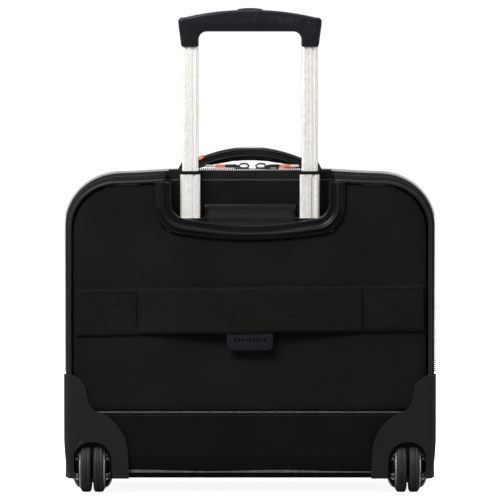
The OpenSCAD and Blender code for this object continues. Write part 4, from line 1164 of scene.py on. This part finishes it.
def build_grip():
    """The arched grip with its light shoulder inserts and its release button."""
    low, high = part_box("grip_body")
    half, rise = high.x, 0.0105
    crown = high.z + 0.0003
    tube_low, tube_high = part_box("inner_tube_right")
    bar_z = crown - 0.0241
    leg_in = tube_low.x - 0.0003
    foot_out = tube_high.x + 0.0008
    inside = arc((leg_in - 0.009, bar_z - 0.009), 0.009, 0, 90, 8)
    right = [(leg_in, low.z), *inside]
    left = [(-x, z) for x, z in reversed(right)]
    outer = [(-foot_out, low.z), (-half + 0.0022, low.z + 0.010), (-half + 0.0004, low.z + 0.024)]
    outer += arc((-half + 0.005, grip_top(half, half, crown, rise) - 0.003), 0.005, 180, 100, 6)
    for step in range(1, 24):
        x = -half + 2 * half * step / 24
        outer.append((x, grip_top(x, half, crown, rise)))
    outer += [(-x, z) for x, z in reversed(outer[:9])]
    outline = outer + right + left
    body = prism(at_depth(outline, low.y), Vector((0, high.y - low.y, 0)), 0.0048, 5)
    piece("grip_shell", body, "grip", "handle_inner", ["grip_body"], smooth=35)

    insert_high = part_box("grip_inserts")[1]
    inner_x, outer_x = 0.031, insert_high.x
    middle_y, half_y = (low.y + high.y) / 2, (high.y - low.y) / 2
    for side, name in zip(sides, ("left", "right")):

        def place(u, v, side=side):
            x = inner_x + (outer_x - inner_x) * u
            narrow = 1 - 0.25 * max(0.0, u - 0.75) / 0.25
            off = (v - 0.5) * 2 * (half_y - 0.0006) * narrow
            corner = max(0.0, abs(off) - half_y + 0.0048)
            drop = 0.0048 - math.sqrt(max(0.0, 0.0048**2 - corner * corner))
            return Vector((side * x, middle_y + off, grip_top(x, half, crown, rise) + 0.0004 - drop))

        strip = grid(24, 18, place, (outer_x - inner_x, 2 * half_y))
        piece("grip_insert_" + name, strip, "insert", "handle_inner",
              ["grip_inserts"] if side < 0 else [], thickness=0.0012, bevel=0.0003)

    button_low, button_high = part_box("release_button")
    reach = button_high.x
    stations = [-reach + 2 * reach * step / 10 for step in range(11)]
    top = [(x, button_high.z - 6.0 * x * x) for x in stations]
    outline = [(reach, button_low.z), (-reach, button_low.z), *top]
    button = prism(at_depth(outline, button_low.y), Vector((0, button_high.y - button_low.y, 0)), 0.0014, 3)
    piece("button_cap", button, "grip", "release_button", ["release_button"])


# ---- Corner guards and wheels ----


def height_at(line, place):
    """Second coordinate of a line of points where its first coordinate reaches a place."""
    for (a, low), (b, high) in zip(line, line[1:]):
        if min(a, b) <= place <= max(a, b) and a != b:
            return low + (high - low) * (place - a) / (b - a)
    return line[0][1] if abs(place - line[0][0]) < abs(place - line[-1][0]) else line[-1][1]


def build_guards():
    """The plastic corner guards with their wheel arches and dark wheel wells."""
    low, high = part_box("guard_right")
    out, tip, floor = high.x, high.z, low.z
    proud, reach = back_y - low.y, high.y - back_y
    corner = 0.011
    wheel_x = (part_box("hub_right_inner")[0].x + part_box("hub_right_outer")[1].x) / 2
    arch_half, arch_top = 0.0226, 0.0584
    sweep = smooth_line(
        [
            (low.x + 0.0005, floor), (low.x + 0.0010, tip - 0.0985), (low.x + 0.0020, tip - 0.0841),
            (low.x + 0.0048, tip - 0.0725), (low.x + 0.0114, tip - 0.0609), (low.x + 0.0201, tip - 0.0514),
            (low.x + 0.0288, tip - 0.0457), (out - 0.0337, tip - 0.0399), (out - 0.0282, tip - 0.0319),
            (out - 0.0262, tip - 0.0218), (out - 0.0242, tip - 0.0131), (out - 0.0178, tip - 0.0058),
            (out - 0.0110, tip - 0.0015),
        ],
        84,
    )
    flank = smooth_line(
        [
            (0.0, tip), (0.008, tip - 0.002), (0.018, tip - 0.007), (0.026, tip - 0.018),
            (0.032, tip - 0.034), (0.041, tip - 0.049), (0.053, tip - 0.059), (0.064, tip - 0.067),
            (reach - 0.003, tip - 0.080), (reach, tip - 0.094),
        ],
        40,
    )
    hem = [(0.0, floor), (reach - 0.012, floor), (reach - 0.004, floor + 0.006), (reach, tip - 0.097)]
    flank_low = smooth_line(hem, 40)

    columns = []
    for x, top in sweep:
        offset = abs(x - wheel_x)
        bottom = floor
        if offset < arch_half:
            round_r = 0.0215
            inside = max(0.0, offset - arch_half + round_r)
            bottom = arch_top - round_r + math.sqrt(round_r**2 - inside**2)
        columns.append((Vector((x, -proud, 0)), bottom, top))
    for step in range(1, 9):
        angle = math.pi / 2 * step / 8
        x = out - corner + corner * math.sin(angle)
        y = -proud + corner - corner * math.cos(angle)
        columns.append((Vector((x, y, 0)), floor, tip - 0.001 * (1 - step / 8)))
    for step in range(1, 41):
        y = -proud + corner + (reach + proud - corner) * step / 40
        ahead = max(0.0, y)
        columns.append((Vector((out, y, 0)), height_at(flank_low, ahead), height_at(flank, ahead)))
    last = len(columns) - 1

    def place(u, v):
        spot, bottom, top = columns[round(u * last)]
        draft = 0.004 * max(0.0, 1 - (bottom + (top - bottom) * v - floor) / 0.045) ** 1.5
        x = spot.x - draft * max(0.0, (spot.x - wheel_x) / (out - wheel_x))
        return Vector((x, depth(spot.y), bottom + (top - bottom) * v))

    width = 2 * arch_half
    well_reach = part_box("tyre_right_outer")[1].y - back_y + 0.004
    well_line = rounded(arch_half, floor - 0.02, arch_top, 0.0215, 0.001)[9:-9]
    well_line = even([(-arch_half, floor), *well_line, (arch_half, floor)], 41)

    def well_place(u, v):
        x, z = well_line[round(u * 40)]
        close = max(0.0, v - 0.9) / 0.1
        deep = -proud + 0.0010 + (well_reach + proud) * min(1.0, v / 0.9)
        return Vector((wheel_x + x * (1 - close), depth(deep), floor + (z - floor) * (1 - close)))

    for side, name in zip(sides, ("left", "right")):
        mirror = Matrix.Diagonal((side, 1, 1, 1))
        shell = grid(last, 26, place, (0.18, 0.12))
        bmesh.ops.transform(shell, matrix=mirror, verts=shell.verts)
        piece(f"guard_{name}_shell", shell, "guard", "case", [f"guard_{name}"], smooth=45,
              thickness=0.0024, bevel=0.0007)
        well = grid(40, 20, well_place, (width, well_reach))
        bmesh.ops.transform(well, matrix=mirror, verts=well.verts)
        piece(f"wheel_well_{name}", well, "dark_nylon", "case", thickness=-0.0012)


def spun(profile, steps=72):
    """A closed ring or dome: a profile of (radius, height) points spun about the X axis, height along +X."""
    bm = bmesh.new()
    verts = [bm.verts.new((height, 0, radius)) for radius, height in profile]
    edges = [bm.edges.new(pair) for pair in zip(verts, verts[1:])]
    bmesh.ops.spin(
        bm, geom=verts + edges, axis=(1, 0, 0), cent=(0, 0, 0), steps=steps, angle=2 * math.pi, use_merge=True
    )
    bmesh.ops.remove_doubles(bm, verts=bm.verts, dist=0.000005)
    return box_cut(bm)


def dome_height(radius, outer, rise):
    """Height of a hub's domed face at one radius."""
    share = min(1.0, radius / outer)
    return rise * math.sqrt(max(0.0, 1 - share**2.4))


def hub_parts(outer, width, rise):
    """A hub's dark dome, and its silver rim, spokes and cap, with the tyre's inner side at X = 0."""
    radii = [outer * step / 14 for step in range(15)]
    face = [(radius, width - 0.002 + dome_height(radius, outer, rise)) for radius in radii]
    dome = spun([(0.0, 0.001), (outer, 0.001), (outer, width - 0.002), *reversed(face[:-1])])
    lift = 0.0016
    ring = [(outer + 0.0001, width - 0.004), (outer + 0.0012, width - 0.0006)]
    ring += [(outer + 0.0002, width + 0.0010), (outer - 0.0010, width + 0.0014)]
    ring += [(outer - 0.0022, width + 0.0004), (outer - 0.0030, width - 0.001)]
    silver = [spun(ring)]
    cap = [(0.0, width + rise + 0.0004), (0.0030, width + rise + 0.0001), (0.0052, width + rise - 0.0012),
           (0.0056, width + rise - 0.0035)]
    silver.append(spun(cap, 32))
    for arm in range(6):
        turn = Matrix.Rotation(math.radians(60 * arm), 4, "X")
        for fork in (-1, 1):

            def place(u, v, fork=fork):
                radius = 0.0045 + (outer - 0.0055) * u
                spread = fork * (0.0002 + 0.17 * max(0.0, u - 0.25))
                half_w = 0.0013 + 0.0004 * u
                off = (v - 0.5) * 2
                angle = spread + off * half_w / radius
                edge = lift * (1 - off * off * 0.7)
                height = width - 0.002 + dome_height(radius, outer, rise) + edge
                return Vector((height, radius * math.sin(angle), radius * math.cos(angle)))

            strip = grid(12, 4, place)
            bmesh.ops.solidify(strip, geom=strip.faces[:], thickness=0.0012)
            bmesh.ops.transform(strip, matrix=turn, verts=strip.verts)
            silver.append(strip)
    return dome, box_cut(join(*silver))


def build_wheels():
    """Twin-disc wheels: grooved tyres on domed hubs with silver spokes."""
    for side in ("left", "right"):
        for disc in ("outer", "inner"):
            node_name = f"{side}_{disc}"
            low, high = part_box("tyre_" + node_name)
            centre = (low + high) / 2
            width, radius = high.x - low.x, (high.z - low.z) / 2
            outward = (1 if side == "right" else -1) * (1 if disc == "outer" else -1)
            section = [(radius - 0.0060, 0.0006), (radius - 0.0042, 0.0)]
            section += [(radius - 0.0042 + 0.0042 * math.sin(a), 0.0042 - 0.0042 * math.cos(a))
                        for a in (math.pi / 2 * step / 7 for step in range(1, 7))]
            for step in range(25):
                share = step / 24
                groove = 0.0
                if 0.08 < share < 0.92:
                    groove = 0.00038 * (0.5 + 0.5 * math.cos(share * 2 * math.pi * 4)) ** 6
                crown = 0.0006 * (2 * share - 1) ** 2
                section.append((radius - crown - groove, 0.0042 + (width - 0.0084) * share))
            section += [(radius - 0.0042 + 0.0042 * math.cos(a), width - 0.0042 + 0.0042 * math.sin(a))
                        for a in (math.pi / 2 * step / 7 for step in range(1, 8))]
            section += [(radius - 0.0060, width - 0.0006), (radius - 0.0060, 0.0006)]
            tyre = spun(section, 96)
            dome, silver = hub_parts(radius - 0.0046, width, 0.0112)
            flip = Matrix.Diagonal((outward, 1, 1, 1))
            inner_x = low.x if outward > 0 else high.x
            place = Matrix.Translation((inner_x, centre.y, centre.z)) @ flip
            for bm in (tyre, dome, silver):
                bmesh.ops.transform(bm, matrix=place, verts=bm.verts)
            body = f"wheel_{node_name}"
            piece(f"tyre_{node_name}_tread", tyre, "tyre", body, [f"tyre_{node_name}"], smooth=50)
            hub = f"hub_{node_name}"
            piece(hub + "_dome", dome, "dark_nylon", body, [hub], smooth=50)
            piece(hub + "_spokes", silver, "silver", body, smooth=50)


# ---- Carry handle, sliders and pulls ----


def cad_copy(name):
    """A merged copy of a CAD node's mesh."""
    bm = bmesh.new()
    bm.from_mesh(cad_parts[name].data)
    bmesh.ops.remove_doubles(bm, verts=bm.verts, dist=0.00001)
    return bm


def arch(x):
    """How far the carry handle's padding stands above its stiff core, or below it towards the ends."""
    share = abs(x) / 0.060
    if share > 1:
        return -0.0025 * max(0.0, 1 - (abs(x) - 0.060) / 0.009)
    return 0.0025 - 0.0050 * share * share


def build_carry_handle(sizes):
    """The padded top handle with its lengthwise seams and the orange tab at one end."""
    low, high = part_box("carry_handle")
    core = cad_copy("carry_handle")
    for vert in core.verts:
        vert.co.z += arch(vert.co.x)
    stuff("carry_handle_padding", core, "handle_fabric", 0.0022, 0.0012, "carry_handle",
          ["carry_handle"])
    half, rise = high.x - 0.004, high.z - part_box("carry_handle")[0].z - 0.0085
    radius = (half * half + rise * rise) / (2 * rise)
    middle_y = (low.y + high.y) / 2

    def top(x, down=0.0):
        return high.z - down - radius + math.sqrt(max(0.0, radius * radius - x * x)) + arch(x)

    def plan(x):
        return 0.004 + 0.009 * min(1.0, max(0.0, (half - 0.008 - abs(x)) / 0.040))

    seams, threads = [], []
    for down in (0.0020, 0.0088):
        line = [Vector((x, middle_y - plan(x) - 0.0001, top(x, down)))
                for x in (-0.058 + 0.116 * step / 50 for step in range(51))]
        seams.append(cord_round(line, 0.0009, 8))
    for across in (-0.6, 0.6):
        line = [Vector((x, middle_y + across * plan(x), top(x) + 0.0010))
                for x in (-0.055 + 0.110 * step / 50 for step in range(51))]
        threads.append(beads(line, sizes.stitch, (0.0024, 0.0008, 0.0007), lift=Vector((0, 0, 0.0001))))
    piece("carry_handle_seams", join(*seams), "piping", "carry_handle")
    piece("carry_handle_stitches", join(*threads), "thread", "carry_handle", smooth=80)

    def tab_place(u, v):
        x = -0.0608 + 0.0072 * u
        angle = math.pi * (v - 0.5)
        reach = plan(x) + 0.0012
        return Vector((x, middle_y + reach * math.sin(angle), top(x) - 0.0015 + 0.0042 * math.cos(angle)))

    piece("carry_handle_tab", grid(6, 20, tab_place, (0.007, 0.03)), "accent", "carry_handle",
          thickness=0.0010)


def block(x_low, x_high, y_low, y_high, z_low, z_high, bevel=0.0006):
    """A box with softened edges."""
    corners = ((x_low, y_low), (x_high, y_low), (x_high, y_high), (x_low, y_high))
    outline = [Vector((x, y, z_low)) for x, y in corners]
    return prism(outline, Vector((0, 0, z_high - z_low)), bevel, 2)


def build_sliders():
    """The laptop zip's two sliders with their round padlock eyes, and the anchors of the carry handle."""
    for name, eye_side in (("laptop_slider_left", 1), ("laptop_slider_right", -1)):
        low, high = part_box(name)
        eye_x = high.x - 0.0070 if eye_side > 0 else low.x + 0.0070
        eye_z, half_w, half_h = low.z + 0.0036, 0.0060, 0.0026
        ring = [Vector((eye_x + half_w * math.cos(a), (low.y + high.y) / 2, eye_z + half_h * math.sin(a)))
                for a in (2 * math.pi * step / 40 for step in range(41))]
        eye = cord_round(ring, 0.0010, 12, closed=True)
        bmesh.ops.remove_doubles(eye, verts=eye.verts, dist=0.00002)
        shell = block(low.x + 0.001, high.x - 0.001, low.y, high.y, low.z, low.z + 0.0018)
        back_x = low.x + 0.0035 if eye_side > 0 else high.x - 0.0035
        bridge_y = (low.y + 0.0016, high.y - 0.0016)
        bridge = block(back_x - 0.0032, back_x + 0.0032, *bridge_y, low.z + 0.0010, low.z + 0.0046)
        piece(name + "_eye", join(eye, shell, bridge), "zip_metal", name, [name], smooth=50)

    low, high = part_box("handle_anchors")
    holders = []
    for side in sides:
        ear_in, ear_out = 0.0775, 0.0825
        x_low, x_high = sorted((side * (ear_in - 0.010), side * high.x))
        holders.append(block(x_low, x_high, low.y, high.y, low.z, low.z + 0.0018))
        foot = low.z + 0.001
        corners = [(ear_in, foot), (ear_out, foot), (ear_out, low.z + 0.0022)]
        corners += [(ear_in + 0.0012, high.z), (ear_in, high.z)]
        outline = [Vector((side * x, low.y + 0.004, z)) for x, z in corners]
        holders.append(prism(outline, Vector((0, high.y - low.y - 0.008, 0)), 0.0004, 2))
    piece("carry_handle_holders", join(*holders), "dark_nylon", "case", ["handle_anchors"])


def build_pulls():
    """The sliders and holders, and on each slider its pull: tab, sleeve and tip."""
    build_sliders()
    for name in ("laptop_pull_left", "laptop_pull_right", "section_pull"):
        low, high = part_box(name)
        outward = 1 if name == "laptop_pull_right" else -1
        start = low.x if outward > 0 else high.x
        middle = (low + high) / 2
        high_z = high.z - low.z
        long = high.x - low.x
        parts = (
            ("tab", 0.0005, 0.38 * long, 0.0036, 1.2, "zip_metal"),
            ("sleeve", 0.38 * long, 0.70 * long, 0.0041, 1.15, "accent"),
            ("tip", 0.70 * long, long, 0.0034, 0.85, "pale_pull"),
        )
        for part, near, far, half, tall, look in parts:
            x_low, x_high = sorted((start + outward * near, start + outward * far))
            y_low, y_high = middle.y - half, middle.y + half
            corners = ((x_low, y_low), (x_high, y_low), (x_high, y_high), (x_low, y_high))
            outline = [Vector((x, y, middle.z - high_z * tall / 2)) for x, y in corners]
            body = prism(outline, Vector((0, 0, high_z * tall)), 0.0009, 3)
            piece(f"{name}_{part}", body, look, name, [name] if part == "tab" else [])


# ---- Front section and inside ----


def build_front(sizes):
    """Front panel, pocket, kick panel and bottom."""
    outline = panel_outline(0.0006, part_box("front_panel")[0].z)
    y_in = front_low.y - back_y
    slab = prism(at_depth(outline, depth(y_in - 0.0050)), Vector((0, 0.0076, 0)))
    stuff(
        "front_fabric", slab, "back_nylon", 0.0036, 0.0012, "front_section",
        ["front_panel"],
    )

    low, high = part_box("front_pocket")
    outline = rounded(high.x - 0.002, low.z + 0.001, high.z - 0.002, 0.006, 0.024)
    slab = prism(at_depth(outline, low.y + 0.0012), Vector((0, high.y - low.y - 0.0032, 0)))
    stuff(
        "front_pocket_fabric", slab, "back_nylon", 0.0032, 0.0020, "front_section",
        ["front_pocket"],
    )
    rim = [Vector((x, high.y - 0.0022, high.z - 0.0032)) for x in (-high.x + 0.006, high.x - 0.006)]
    piece("front_pocket_binding", cord_round(rim, 0.0015), "piping", "front_section")
    edge = rounded(high.x - 0.006, low.z + 0.006, high.z - 0.008, 0.006, 0.020)
    sewn_line = at_depth(edge, high.y - 0.0010)
    row = beads(sewn_line, sizes.stitch, (0.0023, 0.0008, 0.0007), lift=Vector((0, 0.0002, 0)))
    piece("front_pocket_stitches", row, "thread", "front_section", smooth=80)

    kick_low, kick_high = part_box("kick_panel")
    half, rear, front = kick_high.x, kick_low.y, kick_high.y
    corner = 0.008
    plan = [(half, rear)]
    plan += [(half - corner + corner * math.cos(a), front - corner + corner * math.sin(a))
             for a in (math.pi / 2 * step / 8 for step in range(9))]
    seam_y = depth(0.1368)
    plan[0] = (half, seam_y)
    plan += [(-x, y) for x, y in reversed(plan)]
    plan = even(plan, 161)
    roll = 0.006

    def place(u, v):
        x, y = plan[round(u * 160)]
        z = kick_low.z + (kick_high.z - kick_low.z) * v
        angle = math.pi / 2
        if z < kick_low.z + roll:
            angle = math.acos(max(0.0, min(1.0, (kick_low.z + roll - z) / roll)))
        inward = roll * (1 - math.sin(angle))
        middle = Vector((0, (seam_y + front) / 2))
        away = Vector((x, y)) - middle
        pull = Vector((math.copysign(min(inward, abs(away.x)), away.x), min(inward, max(0.0, away.y))))
        bulge = 0.0006 * noise.noise(Vector((x * 9, y * 9, z * 9)))
        return Vector((x - pull.x + bulge, y - pull.y + bulge, z))

    kick = grid(160, 16, place, (0.6, 0.045))
    piece("kick_leatherette", kick, "leatherette", "case", ["kick_panel"], thickness=0.002)
    floor_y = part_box("lower_panel")[1].y

    def floor_place(u, v):
        x = -half + roll + (2 * half - 2 * roll) * u
        return Vector((x, floor_y + (front - roll - floor_y) * v, kick_low.z))

    piece("floor_leatherette", grid(40, 12, floor_place, (0.4, 0.09)), "leatherette", "case",
          thickness=0.002)
    top_row = [Vector((x, y, kick_high.z - 0.004)) for x, y in even(plan, 81)]
    row = beads(top_row, sizes.stitch, (0.0023, 0.0008, 0.0008), lift=Vector((0, 0, 0.0001)))
    piece("kick_stitches", row, "thread", "case", smooth=80)


def build_inside():
    """Padded laptop divider, its strap and the cloth over the tubes."""
    slab = cad_copy("laptop_divider")
    middle = sum((vert.co for vert in slab.verts), Vector()) / len(slab.verts)
    smaller = Matrix.Diagonal((0.985, 0.95, 0.985, 1))
    shrink = Matrix.Translation(middle) @ smaller @ Matrix.Translation(-middle)
    bmesh.ops.transform(slab, matrix=shrink, verts=slab.verts)
    stuff(
        "laptop_divider_pad", slab, "lining", 0.0032, 0.0016, "case", ["laptop_divider"]
    )
    low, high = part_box("tube_cover")

    def cover_place(u, v):
        z = low.z + (high.z - low.z) * v
        half = high.x - 0.003 if z > 0.072 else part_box("guard_right")[0].x
        x = -half + 2 * half * u
        return Vector((x, (low.y + high.y) / 2 + lumps((x, 0, z), 0.0006, 12.0), z))

    cover = grid(80, 52, cover_place, (high.x - low.x, high.z - low.z))
    piece("tube_cover_cloth", cover, "lining", "case", ["tube_cover"], thickness=0.0016)
    strap_low, strap_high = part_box("laptop_strap")
    line = smooth_line(
        [
            (strap_low.y + 0.001, strap_high.z - 0.006), (strap_low.y + 0.012, strap_high.z - 0.001),
            (strap_high.y - 0.008, strap_high.z - 0.001), (strap_high.y - 0.001, strap_high.z - 0.006),
            (strap_high.y - 0.0008, strap_low.z + 0.002),
        ],
        41,
    )

    def strap_place(u, v):
        y, z = line[round(u * 40)]
        return Vector((strap_low.x + (strap_high.x - strap_low.x) * v, y, z))

    strap = grid(40, 8, strap_place, (length_of(line), strap_high.x - strap_low.x))
    piece("laptop_strap_webbing", strap, "webbing", "case", ["laptop_strap"], thickness=0.0012)


cad_looks = {
    "board": ("back_board", "base_board"),
    "tray": ("handle_tray",),
    "fixed_tube": ("fixed_tube_left", "fixed_tube_right"),
    "dark_nylon": ("tube_foot", "tube_plugs", "lock_pin_left", "lock_pin_right"),
    "steel": ("screws", "axles", "button_spring", "push_rods"),
    "rubber": ("front_feet",),
    "zip_metal": ("section_slider",),
}


def dress_cad():
    """Gives the CAD nodes that stay in view their materials."""
    for look, names in cad_looks.items():
        for name in names:
            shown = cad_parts[name]
            shown.data.materials.clear()
            shown.data.materials.append(look_of(look))


# ---- Stage ----


def build_stage(sizes):
    """Pale floor, white surroundings, soft studio lights and the camera."""
    paper = bpy.data.materials.new("Studio paper")
    paper.use_nodes = True
    tree = paper.node_tree
    shader = tree.nodes["Principled BSDF"]
    shader.inputs["Roughness"].default_value = 0.9
    shader.inputs["Specular IOR Level"].default_value = 0.1
    place = tree.nodes.new("ShaderNodeTexCoord").outputs["Object"]
    grain = effect(tree, "Grain", {"Vector": place, "Scale": 300.0})
    pale = tint(tree, shader, (0.94, 0.94, 0.94), grain["Patch"], 0.99, 1.01)
    seen = node(tree, "ShaderNodeLightPath").outputs["Is Camera Ray"]
    dull = (0.30, 0.30, 0.30, 1.0)
    shade = blended(tree, seen, dull, pale)
    tree.links.new(shade, shader.inputs["Base Color"])
    tree.links.new(maths(tree, "MULTIPLY", seen, 0.9), shader.inputs["Emission Strength"])
    shader.inputs["Emission Color"].default_value = (1.0, 1.0, 1.0, 1.0)

    reach = 40.0
    bm = grid(16, 16, lambda u, v: Vector((reach * (2 * u - 1), reach * (2 * v - 1), 0.0)))
    mesh = bpy.data.meshes.new("studio_floor")
    bm.to_mesh(mesh)
    bm.free()
    floor = bpy.data.objects.new("studio_floor", mesh)
    mesh.materials.append(paper)
    bpy.context.scene.collection.objects.link(floor)

    world = bpy.data.worlds.new("Studio")
    bpy.context.scene.world = world
    world.use_nodes = True
    tree = world.node_tree
    room = tree.nodes["Background"]
    room.inputs["Color"].default_value = (1.0, 1.0, 1.0, 1.0)
    room.inputs["Strength"].default_value = 0.30
    backdrop = node(tree, "ShaderNodeBackground", {"Color": (1.0, 1.0, 1.0, 1.0), "Strength": 1.05})
    seen = node(tree, "ShaderNodeLightPath").outputs["Is Camera Ray"]
    mixed = node(tree, "ShaderNodeMixShader", {0: seen, 1: room.outputs[0], 2: backdrop.outputs[0]})
    tree.links.new(mixed.outputs[0], tree.nodes["World Output"].inputs["Surface"])

    overhead = bpy.data.lights.new("overhead", "SUN")
    overhead.energy = 2.3
    overhead.angle = math.radians(110)
    made = bpy.data.objects.new("overhead", overhead)
    bpy.context.scene.collection.objects.link(made)

    lamps = (
        ("key_softbox", (-0.55, -0.95, 1.15), (-0.05, 0.0, 0.34), (0.7, 0.5), 20.0),
        ("left_strip", (-2.2, -0.3, 0.7), (0.0, 0.0, 0.3), (0.3, 1.6), 9.0),
        ("right_strip", (2.2, -0.3, 0.7), (0.0, 0.0, 0.3), (0.3, 1.6), 7.0),
    )
    for name, spot, aim, size, power in lamps:
        lamp = bpy.data.lights.new(name, "AREA")
        lamp.shape = "RECTANGLE"
        lamp.size, lamp.size_y = size
        lamp.energy = power
        made = bpy.data.objects.new(name, lamp)
        made.location = spot
        made.rotation_euler = (Vector(aim) - Vector(spot)).to_track_quat("-Z", "Y").to_euler()
        bpy.context.scene.collection.objects.link(made)

    camera = bpy.data.cameras.new("camera")
    seen_width = 0.563
    camera.sensor_width = 36.0
    camera.lens = camera.sensor_width * sizes.distance / seen_width
    camera.clip_end = 50.0
    made = bpy.data.objects.new("camera", camera)
    target = Vector((0.0, back_y, 0.2746))
    made.location = target + Vector((0, -math.cos(sizes.tilt), math.sin(sizes.tilt))) * sizes.distance
    made.rotation_euler = (target - made.location).to_track_quat("-Z", "Y").to_euler()
    bpy.context.scene.collection.objects.link(made)
    bpy.context.scene.camera = made
    bpy.context.scene.view_settings.view_transform = "Standard"


# ---- Operators and panel ----


class BuildStage(bpy.types.Operator):
    """Builds the floor, the lights and the camera"""

    bl_idname = "rolling_case.stage"
    bl_label = "Stage"

    def execute(self, context):
        build_stage(context.scene.case_sizes)
        return {"FINISHED"}


class BuildGussets(bpy.types.Operator):
    """Builds the side and top fabric"""

    bl_idname = "rolling_case.gussets"
    bl_label = "Gussets"

    def execute(self, context):
        build_gussets(context.scene.case_sizes)
        return {"FINISHED"}


class BuildZips(bpy.types.Operator):
    """Builds the zip tapes and their teeth"""

    bl_idname = "rolling_case.zips"
    bl_label = "Zips"

    def execute(self, context):
        build_zips(context.scene.case_sizes)
        return {"FINISHED"}


class BuildPiping(bpy.types.Operator):
    """Builds the covered cords round the panels"""

    bl_idname = "rolling_case.piping"
    bl_label = "Piping"

    def execute(self, context):
        build_piping(context.scene.case_sizes)
        return {"FINISHED"}


class BuildBackPanel(bpy.types.Operator):
    """Builds the padded panel of the back"""

    bl_idname = "rolling_case.back_panel"
    bl_label = "Back panel"

    def execute(self, context):
        build_back_panel()
        return {"FINISHED"}


class BuildLowerPanel(bpy.types.Operator):
    """Builds the coated lower panel with its binding and stitches, whose pale colour is a painted highlight
    """

    bl_idname = "rolling_case.lower_panel"
    bl_label = "Lower panel"

    def execute(self, context):
        build_lower_panel(context.scene.case_sizes)
        return {"FINISHED"}


class BuildBand(bpy.types.Operator):
    """Builds the trolley band, its sewn ends and its label"""

    bl_idname = "rolling_case.band"
    bl_label = "Trolley band"

    def execute(self, context):
        build_band(context.scene.case_sizes)
        return {"FINISHED"}


class BuildBezel(bpy.types.Operator):
    """Builds the surround of the handle's recess"""

    bl_idname = "rolling_case.bezel"
    bl_label = "Bezel"

    def execute(self, context):
        build_bezel(context.scene.case_sizes)
        build_scoop()
        return {"FINISHED"}


class BuildTubes(bpy.types.Operator):
    """Builds the fluted tubes and their collars"""

    bl_idname = "rolling_case.tubes"
    bl_label = "Tubes"

    def execute(self, context):
        build_tubes()
        return {"FINISHED"}


class BuildGrip(bpy.types.Operator):
    """Builds the grip, its inserts and the release button"""

    bl_idname = "rolling_case.grip"
    bl_label = "Grip"

    def execute(self, context):
        build_grip()
        return {"FINISHED"}


class BuildGuards(bpy.types.Operator):
    """Builds the corner guards and wheel wells"""

    bl_idname = "rolling_case.guards"
    bl_label = "Guards"

    def execute(self, context):
        build_guards()
        return {"FINISHED"}


class BuildWheels(bpy.types.Operator):
    """Builds the tyres and hubs"""

    bl_idname = "rolling_case.wheels"
    bl_label = "Wheels"

    def execute(self, context):
        build_wheels()
        return {"FINISHED"}


class BuildCarryHandle(bpy.types.Operator):
    """Builds the padded carry handle"""

    bl_idname = "rolling_case.carry_handle"
    bl_label = "Carry handle"

    def execute(self, context):
        build_carry_handle(context.scene.case_sizes)
        return {"FINISHED"}


class BuildPulls(bpy.types.Operator):
    """Builds the zip pulls, their sliders and the carry handle's holders"""

    bl_idname = "rolling_case.pulls"
    bl_label = "Zip pulls"

    def execute(self, context):
        build_pulls()
        return {"FINISHED"}


class BuildFront(bpy.types.Operator):
    """Builds the front panel, pocket and kick panel"""

    bl_idname = "rolling_case.front"
    bl_label = "Front"

    def execute(self, context):
        build_front(context.scene.case_sizes)
        return {"FINISHED"}


class BuildInside(bpy.types.Operator):
    """Builds the laptop divider, its strap and the cloth over the tubes"""

    bl_idname = "rolling_case.inside"
    bl_label = "Inside"

    def execute(self, context):
        build_inside()
        return {"FINISHED"}


class DressFrame(bpy.types.Operator):
    """Gives the frame's own hard parts their materials"""

    bl_idname = "rolling_case.frame"
    bl_label = "Frame parts"

    def execute(self, context):
        dress_cad()
        return {"FINISHED"}


steps = (
    BuildStage,
    BuildGussets,
    BuildZips,
    BuildPiping,
    BuildBackPanel,
    BuildLowerPanel,
    BuildBand,
    BuildBezel,
    BuildTubes,
    BuildGrip,
    BuildGuards,
    BuildWheels,
    BuildCarryHandle,
    BuildPulls,
    BuildFront,
    BuildInside,
    DressFrame,
)


class CasePanel(bpy.types.Panel):
    """Lists the case's settings and the steps that build it"""

    bl_idname = "VIEW3D_PT_rolling_case"
    bl_label = "Rolling Laptop Case"
    bl_space_type = "VIEW_3D"
    bl_region_type = "UI"
    bl_category = "Case"

    def draw(self, context):
        for settings in (context.scene.case_sizes, context.scene.case_colours):
            box = self.layout.box()
            for name in settings.__annotations__:
                box.prop(settings, name)
        for step in steps:
            self.layout.operator(step.bl_idname)


def register():
    for kind in (CaseSizes, CaseColours, *steps, CasePanel):
        bpy.utils.register_class(kind)
    bpy.types.Scene.case_sizes = PointerProperty(type=CaseSizes)
    bpy.types.Scene.case_colours = PointerProperty(type=CaseColours)


def unregister():
    del bpy.types.Scene.case_colours
    del bpy.types.Scene.case_sizes
    for kind in (CasePanel, *reversed(steps), CaseColours, CaseSizes):
        bpy.utils.unregister_class(kind)


def main():
    """Builds the whole case in order."""
    register()
    for step in steps:
        group, name = step.bl_idname.split(".")
        getattr(getattr(bpy.ops, group), name)()
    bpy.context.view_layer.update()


if __name__ == "__main__":
    main()
